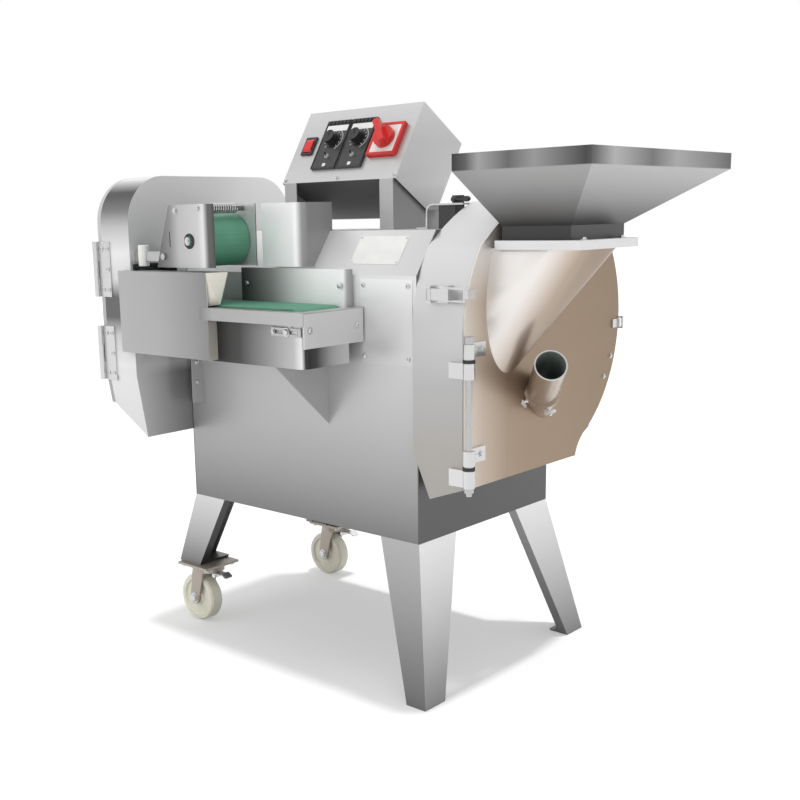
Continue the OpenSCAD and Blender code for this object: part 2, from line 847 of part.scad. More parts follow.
module pan_plan(i) {
    x0 = xl + 4 - i;
    translate([x0, pan_y0 + i]) square([pan_x1 - corner_r - x0, pan_y1 - pan_y0 - 2 * i]);
    translate([x0, pan_y0 + corner_r]) square([pan_x1 - i - x0, pan_y1 - pan_y0 - corner_r - i]);
    translate([pan_x1 - corner_r, pan_y0 + corner_r]) circle(corner_r - i);
}

module conveyor_pan() {
    steel() place() difference() {
        union() {
            difference() {
                translate([0, 0, pan_z0]) linear_extrude(deck_z - sheet - pan_z0) pan_plan(0);
                translate([0, 0, pan_z0 + sheet]) linear_extrude(deck_z) pan_plan(sheet);
            }
            box(head_x + 26, tail_x - 26, pan_y0 + 1, pan_y1 - 1, roller_z + 14, roller_z + roller_r - 0.5);
            box(xl + 4, pan_x1, pan_y1 - sheet, 0, deck_z - 2 * sheet, deck_z - sheet);
        }
        for (x = [head_x, tail_x]) {
            rod_y(pan_y0 - 1, pan_y1 + 1, x, roller_z, shaft_r + run_gap);
        }
    }
}

module belt_loop(r) {
    translate([head_x, roller_z]) circle(r);
    translate([tail_x, roller_z]) circle(r);
    translate([head_x, roller_z - r]) square([tail_x - head_x, 2 * r]);
}

module conveyor_belt() {
    color([0.22, 0.50, 0.40]) place() difference() {
        xz(belt_y0, belt_y1) belt_loop(belt_out_r);
        xz(belt_y0 - 1, belt_y1 + 1) belt_loop(belt_in_r);
    }
}

module drive_roller() {
    color([0.66, 0.66, 0.66]) place() {
        rod_y(belt_y0 - 1, belt_y1 + 1, tail_x, roller_z, roller_r);
        rod_y(pan_y0 - 1, 60, tail_x, roller_z, shaft_r);
    }
}

module idle_roller() {
    color([0.66, 0.66, 0.66]) place() {
        rod_y(belt_y0 - 1, belt_y1 + 1, head_x, roller_z, roller_r);
        rod_y(pan_y0 - 1, pan_y1 + 4, head_x, roller_z, shaft_r);
    }
}

module conveyor_tray() {
    steel() place() {
        union() {
            box(tray_x0, end_x, tray_y - sheet, tray_y, deck_z - 22, deck_z);
            box(tray_x0, end_x, tray_y, pan_y0 + 1, deck_z - sheet, deck_z);
            box(pan_x1 - 2, end_x, tray_y, -4, deck_z - sheet, deck_z);
        }
    }
}

module end_plate() {
    steel() place() difference() {
        box(end_x - sheet, end_x, tray_y, -4, deck_z - 60, deck_z - sheet);
        rod_x(end_x - 5, end_x + 5, -20, deck_z - 30, 3);
        rod_x(end_x - 5, end_x + 5, tray_y + 14, deck_z - 30, 3);
    }
}

module belt_guard() {
    steel() place() {
        union() {
            box(guard_x0, guard_x1, pan_y1 + 2, pan_y1 + 2 + sheet, deck_z - sheet, deck_z + guard_h);
            translate([guard_x1, pan_y1 + 2 + guard_bend_r, deck_z - sheet]) rotate([0, 0, -90])
                rotate_extrude(angle = 90) translate([guard_bend_r - sheet, 0]) square([sheet, guard_h + sheet]);
            box(guard_x1 + guard_bend_r - sheet, guard_x1 + guard_bend_r, pan_y1 + 2 + guard_bend_r, -panel_t,
                deck_z - sheet, deck_z + guard_h);
        }
    }
}

module feed_cover() {
    y0 = tray_y - sheet;
    z1 = deck_z + feed_h;
    steel() place() difference() {
        union() {
            box(feed_x0, feed_x1, y0, tray_y, pan_z0 + 3, z1);
            box(feed_x0, feed_x1, tray_y, leaf_y0, z1 - sheet, z1);
            box(xl, feed_x1, leaf_y0, pan_y0 + 18, z1 - sheet, z1);
            box(feed_x0, feed_x0 + sheet, tray_y, leaf_y0, pan_z0 + 3, z1);
            box(feed_x1 - sheet, feed_x1, tray_y, pan_y0, pan_z0 + 3, deck_z - 22);
            box(xl + 4, feed_x1, tray_y, pan_y0, pan_z0 + 3, pan_z0 + 3 + sheet);
            hull() {
                box(feed_x1 - 2, feed_x1, y0, tray_y, z1 - 4, z1);
                box(feed_x1 + 10, feed_x1 + 12, pan_y0 + 18, pan_y0 + 20, z1 - 4, z1);
                box(tray_x0, tray_x0 + 2, y0, tray_y, deck_z, deck_z + 2);
                box(feed_x1 + 5, feed_x1 + 7, pan_y0 + 3, pan_y0 + 5, deck_z + 5, deck_z + 7);
            }
        }
        box(tray_x0, feed_x1 + 7, y0 - 1, pan_y0 + 1, deck_z - 22, deck_z);
    }
}

module gussets() {
    steel() place() {
        yz(gusset_x, gusset_x + 3) polygon([[0, gusset_z], [0, pan_z0], [pan_y0, pan_z0]]);
        box(xl + 36, xl + 39, -28, 0, bracket_z, pan_z0);
        box(xl + 6, xl + 36, -3, 0, bracket_z, pan_z0);
    }
}

// Press unit above the belt
module press_plate(y, reach) {
    difference() {
        xz(y, y + sheet) polygon([[press_x - 97, press_low_z], [press_edge_x + reach, press_low_z],
            [press_edge_x + reach, press_top_z], [press_x - 56, press_top_z]]);
        rod_y(y - 1, y + sheet + 1, press_x, press_z, shaft_r + run_gap);
        rod_y(y - 1, y + sheet + 1, pivot_x, pivot_z, pivot_r + run_gap);
        box(press_x - 57, press_x - 52, y - 1, y + sheet + 1, press_z - 10, press_z + 18);
    }
}

module press_bend(y, s) {
    translate([press_edge_x, y, press_low_z]) mirror([0, s, 0]) translate([0, 18, 0]) rotate([0, 0, -90])
        rotate_extrude(angle = 90) translate([18 - sheet, 0]) square([sheet, press_top_z - press_low_z]);
}

module press_frame() {
    steel() place() {
        union() {
            press_plate(plate_y0, 0);
            press_bend(plate_y0, 0);
            press_plate(plate_y1, 30);
            rod_y(plate_y0, plate_y1 + sheet, press_x - 37, press_top_z - 11, 5);
            rod_y(plate_y0, plate_y1 + sheet, press_x + 27, press_top_z - 8, 5);
        }
    }
}

module press_roller() {
    color([0.20, 0.47, 0.38]) place() {
        rod_y(plate_y0 + 20, plate_y1 - 2, press_x, press_z, press_r);
        rod_y(plate_y0 - 4, plate_y1 + sheet + 3, press_x, press_z, shaft_r);
    }
}

module press_pivot() {
    color([0.6, 0.6, 0.6]) place() {
        union() {
            for (y = [plate_y0 + 5, plate_y1 - 9]) {
                box(xl, pivot_x + 9, y, y + 6, pivot_z - 9, pivot_z + 9);
            }
            rod_y(plate_y0 - 4, plate_y1 + sheet + 4, pivot_x, pivot_z, pivot_r);
        }
    }
}

module press_cover() {
    bend_r = 22;
    foot_y = (cover_low_z - slope_z) * slope_run / slope_dz;
    edge_x = cover_x1 + bend_r;
    steel() place() {
        union() {
            box(cover_x0, cover_x1, cover_y0, cover_y0 + sheet, cover_low_z, cover_top_z);
            translate([cover_x1, cover_y0 + bend_r, cover_low_z]) rotate([0, 0, -90])
                rotate_extrude(angle = 90) translate([bend_r - sheet, 0]) square([sheet, cover_top_z - cover_low_z]);
            yz(edge_x - sheet, edge_x) polygon([[0, cover_low_z], [0, cover_top_z], [slope_run + 6, cover_top_z],
                [slope_run + 6, top_z], [slope_run, top_z], [foot_y, cover_low_z]]);
            yz(cover_x0, cover_x0 + sheet) polygon([[cover_y0 + sheet, cover_low_z], [foot_y, cover_low_z],
                [slope_run, top_z], [slope_run, top_z + 30], [cover_y0 + sheet, cover_top_z]]);
        }
    }
}

// Control box on its pedestal
module on_face() {
    translate([ctl_x0, ctl_y, ctl_z]) rotate([-ctl_tilt, 0, 0]) children();
}

module pedestal_leg(x, s) {
    y1 = ctl_y + 95;
    yz(x, x + sheet) polygon([[ctl_y, top_z], [y1, top_z], [y1, ctl_z - (y1 - ctl_y) * tan(ctl_tilt)],
        [ctl_y, ctl_z]]);
    yz(s > 0 ? x : x - 30, s > 0 ? x + 32 : x + sheet)
        polygon([[ctl_y, top_z], [ctl_y + sheet, top_z], [ctl_y + sheet, ctl_z - sheet * tan(ctl_tilt)],
            [ctl_y, ctl_z]]);
}

module control_pedestal() {
    steel() place() {
        union() {
            pedestal_leg(ctl_x0 + 6, 1);
            pedestal_leg(ctl_x0 + ctl_w - 8, -1);
        }
    }
}

rock_x = 36;
rock_z = 82;
rock_w = 20;
rock_pin_y = -1.5;
rock_pin_r = 1.2;
rock_h = 30;
knob_z = 90;
unit_xs = [67, 132];
unit_w = 62;
unit_t = 5;
iso_x = 236;
iso_z = 82;
iso_s = 66;
iso_rest = 37;

module control_box() {
    steel() place() on_face() difference() {
        cube([ctl_w, ctl_d - sheet, ctl_h]);
        translate([sheet, sheet, sheet]) cube([ctl_w - 2 * sheet, ctl_d, ctl_h - 2 * sheet]);
        box(rock_x - rock_w / 2 - 1, rock_x + rock_w / 2 + 1, -1, sheet + 1, rock_z - rock_h / 2 - 1,
            rock_z + rock_h / 2 + 1);
        for (x = unit_xs) {
            rod_y(-1, sheet + 1, x + unit_w / 2, knob_z, 6);
        }
        rod_y(-1, sheet + 1, iso_x, iso_z, 8);
    }
}

module control_back() {
    steel() place() on_face() box(0, ctl_w, ctl_d - sheet, ctl_d, 0, ctl_h);
}

module speed_units() {
    dark() place() on_face() for (x = unit_xs) {
        difference() {
            box(x, x + unit_w, -unit_t, 0, 27, 134);
            rod_y(-unit_t - 1, 1, x + unit_w / 2, knob_z, 3 + run_gap);
        }
    }
}

module speed_knob(x) {
    dark() place() on_face() difference() {
        union() {
            rod_y(-unit_t - 16, -unit_t - move_gap, x, knob_z, knob_r);
            rod_y(-unit_t - 1, 0, x, knob_z, 3);
            rod_y(-unit_t - 3, -unit_t - move_gap, x, knob_z, knob_r + 3);
        }
        box(x - 1, x + 1, -unit_t - 17, -unit_t - 15, knob_z, knob_z + knob_r + 1);
    }
}

module speed_knob_left() {
    speed_knob(unit_xs[0] + unit_w / 2);
}

module speed_knob_right() {
    speed_knob(unit_xs[1] + unit_w / 2);
}

module switch_bases() {
    color([0.88, 0.88, 0.86]) place() on_face() {
        difference() {
            box(rock_x - rock_w / 2 - 4, rock_x + rock_w / 2 + 4, -3, 0, rock_z - rock_h / 2 - 4,
                rock_z + rock_h / 2 + 4);
            box(rock_x - rock_w / 2 - move_gap, rock_x + rock_w / 2 + move_gap, -4, 1,
                rock_z - rock_h / 2 - move_gap, rock_z + rock_h / 2 + move_gap);
        }
        rod_x(rock_x - rock_w / 2 - 2, rock_x + rock_w / 2 + 2, rock_pin_y, rock_z, rock_pin_r);
        difference() {
            box(iso_x - iso_s / 2, iso_x + iso_s / 2, -8, 0, iso_z - iso_s / 2, iso_z + iso_s / 2);
            rod_y(-9, 1, iso_x, iso_z, 6 + run_gap);
        }
    }
}

module rocker() {
    color([0.75, 0.08, 0.06]) place() on_face() difference() {
        yz(rock_x - rock_w / 2, rock_x + rock_w / 2)
            polygon([[2, rock_z - rock_h / 2 + 3], [-4, rock_z - rock_h / 2 + 1], [-6, rock_z - 8],
                [-6, rock_z + 8], [-4, rock_z + rock_h / 2 - 1], [2, rock_z + rock_h / 2 - 3]]);
        rod_x(rock_x - rock_w, rock_x + rock_w, rock_pin_y, rock_z, rock_pin_r + run_gap);
    }
}

module main_switch() {
    color([0.75, 0.08, 0.06]) place() on_face() {
        union() {
            rod_y(-18, -8 - move_gap, iso_x, iso_z, 21);
            rod_y(-9, 6, iso_x, iso_z, 6);
            translate([iso_x, 0, iso_z]) rotate([0, -iso_rest, 0]) box(-6, 6, -32, -17, -24, 34);
        }
    }
}

// Door interlock on the cabinet top
int_x = -83;
int_y = 130;
int_bend_r = 14;

module interlock_bracket() {
    steel() place() {
        union() {
            box(int_x, int_x + 3, int_y, int_y + 40, top_z, top_z + 44 - int_bend_r);
            translate([int_x + int_bend_r, int_y + 40, top_z + 44 - int_bend_r]) rotate([90, 0, 0]) rotate([0, 0, 90])
                rotate_extrude(angle = 90) translate([int_bend_r - 3, 0]) square([3, 40]);
            box(int_x + int_bend_r, -2, int_y, int_y + 40, top_z + 41, top_z + 44);
            box(int_x - 22, int_x, int_y, int_y + 40, top_z, top_z + 3);
        }
    }
}

module interlock_switch() {
    dark() place() difference() {
        union() {
            box(int_x + 24, int_x + 60, int_y + 6, int_y + 34, top_z, top_z + 41);
            box(int_x + 28, int_x + 46, int_y + 40.5, int_y + 52, top_z + 20, top_z + 58);
            box(int_x + 28, int_x + 46, int_y + 34, int_y + 41, top_z + 20, top_z + 40);
        }
        rod_y(int_y + 40, int_y + 53, int_x + 37, top_z + 51, 3 + run_gap);
    }
}

module interlock_lever() {
    dark() place() {
        union() {
            rod_y(int_y + 30, int_y + 40, int_x + 37, top_z + 51, 4.5);
            rod_y(int_y + 30, int_y + 54, int_x + 37, top_z + 51, 3);
            box(int_x + 37, int_x + 72, int_y + 32, int_y + 36, top_z + 49, top_z + 53);
            rod_y(int_y + 24, int_y + 32, int_x + 69, top_z + 51, 5);
        }
    }
}

// Drive motors on brackets inside the cabinet
module motors() {
    color([0.35, 0.38, 0.42]) place() {
        difference() {
            union() {
                rod_x(-16, -sheet, drum_y, drum_z, 90);
                rod_x(-230, -16, drum_y, drum_z, 75);
                rod_x(-262, -230, drum_y, drum_z, 70);
                box(-170, -90, drum_y + 60, drum_y + 110, drum_z - 40, drum_z + 40);
            }
            rod_x(-200, 1, drum_y, drum_z, 15 + run_gap);
        }
        difference() {
            union() {
                rod_x(xl + sheet, xl + 16, leaf_cy, leaf_cz, 80);
                rod_x(xl + 16, xl + 210, leaf_cy, leaf_cz, 68);
                rod_x(xl + 210, xl + 240, leaf_cy, leaf_cz, 62);
                box(xl + 80, xl + 150, leaf_cy + 50, leaf_cy + 100, leaf_cz - 35, leaf_cz + 35);
            }
            rod_x(xl + 1, xl + 204, leaf_cy, leaf_cz, 15 + run_gap);
        }
        difference() {
            union() {
                box(tail_x - 40, tail_x + 40, sheet, 70, roller_z - 40, roller_z + 40);
                rod_z(roller_z - 200, roller_z - 40, tail_x, 40, 36);
            }
            rod_y(1, 64, tail_x, roller_z, shaft_r + run_gap);
        }
    }
}

cabinet_wrap();
cabinet_ends();
rear_panel();
base_pan();
access_panel();
fixed_legs();
caster_legs();
caster_plates();
caster_fork_front();
caster_wheel_front();
caster_fork_rear();
caster_wheel_rear();
leaf_housing();
leaf_hinge();
leaf_lid();
lid_hinge();
leaf_knives();
leaf_shaft();
bulb_drum();
drum_hinge();
drum_pin();
bulb_door();
door_hinge();
door_catches();
feed_scoop();
feed_tube();
hopper_flange();
hopper();
bulb_disc();
bulb_shaft();
latch_bases();
latch_front();
latch_back();
latch_lid();
conveyor_pan();
conveyor_belt();
drive_roller();
idle_roller();
conveyor_tray();
end_plate();
belt_guard();
feed_cover();
gussets();
press_pivot();
press_frame();
press_roller();
press_cover();
control_pedestal();
control_box();
control_back();
speed_units();
speed_knob_left();
speed_knob_right();
switch_bases();
rocker();
main_switch();
interlock_bracket();
interlock_switch();
interlock_lever();
motors();
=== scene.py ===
"""Looks of the vegetable dicer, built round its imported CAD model. Metres, in the CAD's own frame."""
import math

import bmesh
import bpy
from mathutils import Matrix, Vector


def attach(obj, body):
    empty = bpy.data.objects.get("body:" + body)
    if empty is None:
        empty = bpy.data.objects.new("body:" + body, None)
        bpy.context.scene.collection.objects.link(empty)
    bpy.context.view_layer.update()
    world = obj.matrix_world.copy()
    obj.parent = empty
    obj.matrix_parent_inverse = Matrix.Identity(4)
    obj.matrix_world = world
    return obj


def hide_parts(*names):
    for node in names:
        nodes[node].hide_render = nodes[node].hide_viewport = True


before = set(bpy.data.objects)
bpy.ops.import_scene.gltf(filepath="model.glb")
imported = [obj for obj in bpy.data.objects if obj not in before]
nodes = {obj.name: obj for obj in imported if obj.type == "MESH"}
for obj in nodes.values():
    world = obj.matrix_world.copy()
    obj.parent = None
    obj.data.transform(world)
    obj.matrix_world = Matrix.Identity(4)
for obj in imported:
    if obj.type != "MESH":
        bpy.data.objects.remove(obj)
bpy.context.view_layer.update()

# Where the machine's own datum, the cabinet's front right corner, lies in the CAD frame, in millimetres
DATUM = Vector((194.0, -172.0, 0.0))


def at(x, y, z):
    """A point given in millimetres from the machine's datum, in metres in the CAD frame."""
    return (Vector((x, y, z)) + DATUM) / 1000.0


# Camera: the photograph's solved view
AZIMUTH = math.radians(42.88)
PITCH = math.radians(11.51)
ROLL = math.radians(-1.28)
FOCAL_PX = 1108.6
IMAGE_PX = 800.0
CENTRE_PX = (338.3, 443.0)
SENSOR = 36.0


def add_camera():
    forward = Vector((-math.sin(AZIMUTH) * math.cos(PITCH), math.cos(AZIMUTH) * math.cos(PITCH), -math.sin(PITCH)))
    right = Vector((math.cos(AZIMUTH), math.sin(AZIMUTH), 0.0))
    up = right.cross(forward)
    right_r = math.cos(ROLL) * right + math.sin(ROLL) * up
    up_r = -math.sin(ROLL) * right + math.cos(ROLL) * up
    data = bpy.data.cameras.new("camera")
    data.sensor_width = SENSOR
    data.lens = FOCAL_PX / IMAGE_PX * SENSOR
    data.shift_x = (IMAGE_PX / 2 - CENTRE_PX[0]) / IMAGE_PX
    data.shift_y = (CENTRE_PX[1] - IMAGE_PX / 2) / IMAGE_PX
    data.clip_end = 100.0
    camera = bpy.data.objects.new("camera", data)
    turn = Matrix((right_r, up_r, -forward)).transposed().to_4x4()
    camera.matrix_world = Matrix.Translation(at(1166.86, -1458.26, 840.16)) @ turn
    bpy.context.scene.collection.objects.link(camera)
    bpy.context.scene.camera = camera


add_camera()
bpy.context.scene.view_settings.view_transform = "Standard"


# Materials
class Nodes:
    """Short calls for building a node tree."""

    def __init__(self, tree):
        self.tree = tree
        tree.nodes.clear()

    def add(self, kind, **values):
        node = self.tree.nodes.new(kind)
        for key, value in values.items():
            setattr(node, key, value)
        return node

    def link(self, a, b):
        self.tree.links.new(a, b)

    def math(self, op, a, b):
        node = self.add("ShaderNodeMath", operation=op)
        for socket, value in zip(node.inputs, (a, b)):
            if isinstance(value, (int, float)):
                socket.default_value = value
            else:
                self.link(value, socket)
        return node.outputs[0]

    def ramp(self, fac, stops):
        node = self.add("ShaderNodeValToRGB")
        while len(node.color_ramp.elements) < len(stops):
            node.color_ramp.elements.new(0.5)
        for element, (place, colour) in zip(node.color_ramp.elements, stops):
            element.position = place
            element.color = (*colour, 1.0)
        self.link(fac, node.inputs[0])
        return node.outputs[0]

    def noise(self, scale, stretch=(1, 1, 1), detail=4.0):
        coords = self.add("ShaderNodeTexCoord")
        mapping = self.add("ShaderNodeMapping")
        mapping.inputs["Scale"].default_value = stretch
        self.link(coords.outputs["Object"], mapping.inputs["Vector"])
        node = self.add("ShaderNodeTexNoise")
        node.inputs["Scale"].default_value = scale
        node.inputs["Detail"].default_value = detail
        self.link(mapping.outputs[0], node.inputs["Vector"])
        return node.outputs["Fac"]

    def map_range(self, value, lo, hi, a=0.0, b=1.0):
        node = self.add("ShaderNodeMapRange")
        node.inputs["From Min"].default_value = a
        node.inputs["From Max"].default_value = b
        node.inputs["To Min"].default_value = lo
        node.inputs["To Max"].default_value = hi
        self.link(value, node.inputs["Value"])
        return node.outputs[0]

    def bump(self, height, strength, distance):
        node = self.add("ShaderNodeBump")
        node.inputs["Strength"].default_value = strength
        node.inputs["Distance"].default_value = distance
        self.link(height, node.inputs["Height"])
        return node.outputs[0]


def surface(name, metallic, specular=0.5):
    mat = bpy.data.materials.new(name)
    mat.use_nodes = True
    n = Nodes(mat.node_tree)
    out = n.add("ShaderNodeOutputMaterial")
    shader = n.add("ShaderNodeBsdfPrincipled")
    shader.inputs["Metallic"].default_value = metallic
    shader.inputs["Specular IOR Level"].default_value = specular
    n.link(shader.outputs[0], out.inputs["Surface"])
    return mat, n, shader


def scaled(colour, k):
    return tuple(min(1.0, c * k) for c in colour)


def tone(value):
    """A displayed grey or colour, from 0 to 255, as the linear colour that shows it under plain light."""
    values = value if isinstance(value, tuple) else (value, value, value)
    return tuple(((v / 255 + 0.055) / 1.055) ** 2.4 if v > 10 else v / 255 / 12.92 for v in values)


X, Y, Z = (1.0, 0.0, 0.0), (0.0, 1.0, 0.0), (0.0, 0.0, 1.0)


def share(n, axis, start, end):
    """0 to 1 between two places on an axis, given in millimetres from the datum."""
    coords = n.add("ShaderNodeTexCoord")
    dot = n.add("ShaderNodeVectorMath", operation="DOT_PRODUCT")
    n.link(coords.outputs["Object"], dot.inputs[0])
    dot.inputs[1].default_value = axis
    shift = Vector(axis).dot(DATUM)
    return n.map_range(dot.outputs["Value"], 0.0, 1.0, (start + shift) / 1000, (end + shift) / 1000)


def along(n, axis, stops):
    """Tones that change along an axis; on the steels these are painted reflections and shade. Each stop is a
    distance in millimetres from the datum, and a tone.
    """
    low, high = stops[0][0], stops[-1][0]
    return n.ramp(share(n, axis, low, high), [((d - low) / (high - low), tone(v)) for d, v in stops])


def painted_side_mask(n, direction, start=0.35, end=0.75):
    """1 where the surface faces a direction of the part itself, and 0 where it faces away; it picks the side that
    gets painted light or shade.
    """
    coords = n.add("ShaderNodeTexCoord")
    dot = n.add("ShaderNodeVectorMath", operation="DOT_PRODUCT")
    n.link(coords.outputs["Normal"], dot.inputs[0])
    dot.inputs[1].default_value = direction
    return n.map_range(dot.outputs["Value"], 0.0, 1.0, start, end)


def blend(n, kind, fac, a, b):
    mix = n.add("ShaderNodeMix", data_type="RGBA", blend_type=kind)
    if isinstance(fac, (int, float)):
        mix.inputs[0].default_value = fac
    else:
        n.link(fac, mix.inputs[0])
    n.link(a, mix.inputs[6])
    n.link(b, mix.inputs[7])
    return mix.outputs[2]


def steel(name, stops, axis=Z, lay=Z, rough=0.34, cloud=0.06, face=None, painted_light_band=None, metal=0.6):
    """Brushed sheet: tones along an axis that are painted reflections and shade, fine lines along its lay, soft
    clouds, and a little lay in the bump.

    face is (direction, axis, stops), the tones of the side that faces that way, painted light and shade of that
    side.
    painted_light_band is (axis, start, end, axis, stops), the tones beyond a place, such as a rim: painted
    reflections and shade there.
    """
    mat, n, shader = surface(name, metal)
    # Painted reflections and shade: tones along the axis.
    colour = along(n, axis, stops)
    # Painted light and shade on the sides that face one way.
    if face:
        colour = blend(n, "MIX", painted_side_mask(n, face[0]), colour, along(n, *face[1:]))
    # Painted light and shade beyond a place on an axis.
    if painted_light_band:
        colour = blend(n, "MIX", share(n, *painted_light_band[:3]), colour, along(n, *painted_light_band[3:]))
    grain = tuple(1.0 if a else 40.0 for a in lay)
    lines = n.noise(60.0, grain, 6.0)
    clouds = n.noise(3.2, (1, 1, 1), 3.0)
    mix = n.math("ADD", n.math("MULTIPLY", lines, 0.55), n.math("MULTIPLY", clouds, 0.45))
    shade = n.ramp(mix, [(0.30, (1 - cloud,) * 3), (0.70, (1.0,) * 3)])
    n.link(blend(n, "MULTIPLY", 1.0, colour, shade), shader.inputs["Base Color"])
    n.link(n.map_range(mix, rough - 0.06, rough + 0.10, 0.3, 0.7), shader.inputs["Roughness"])
    n.link(n.bump(lines, 0.06, 0.0004), shader.inputs["Normal"])
    return mat


def plain(value):
    """One tone all over."""
    return [(0, value), (1000, value)]


def plastic(name, colour, rough=0.42, grain=900.0, bump=0.08):
    """Moulded plastic with a fine skin and slight changes of tone."""
    mat, n, shader = surface(name, 0.0)
    fine = n.noise(grain, (1, 1, 1), 3.0)
    clouds = n.noise(14.0, (1, 1, 1), 3.0)
    n.link(n.ramp(clouds, [(0.3, scaled(colour, 0.9)), (0.7, scaled(colour, 1.08))]), shader.inputs["Base Color"])
    n.link(n.map_range(fine, rough - 0.07, rough + 0.07, 0.3, 0.7), shader.inputs["Roughness"])
    n.link(n.bump(fine, bump, 0.0003), shader.inputs["Normal"])
    return mat


def belt_rubber(name, colour):
    """Food belt: a fine woven face."""
    mat, n, shader = surface(name, 0.0, 0.35)
    coords = n.add("ShaderNodeTexCoord")
    wave_x = n.add("ShaderNodeTexWave", wave_type="BANDS", bands_direction="X")
    wave_y = n.add("ShaderNodeTexWave", wave_type="BANDS", bands_direction="Y")
    for wave in (wave_x, wave_y):
        wave.inputs["Scale"].default_value = 190.0
        n.link(coords.outputs["Object"], wave.inputs["Vector"])
    weave = n.math("MULTIPLY", wave_x.outputs["Fac"], wave_y.outputs["Fac"])
    clouds = n.noise(18.0, (1, 1, 1), 4.0)
    mix = n.math("ADD", n.math("MULTIPLY", weave, 0.3), n.math("MULTIPLY", clouds, 0.7))
    n.link(n.ramp(mix, [(0.2, scaled(colour, 0.82)), (0.7, scaled(colour, 1.12))]), shader.inputs["Base Color"])
    shader.inputs["Roughness"].default_value = 0.55
    n.link(n.bump(weave, 0.25, 0.0004), shader.inputs["Normal"])
    return mat


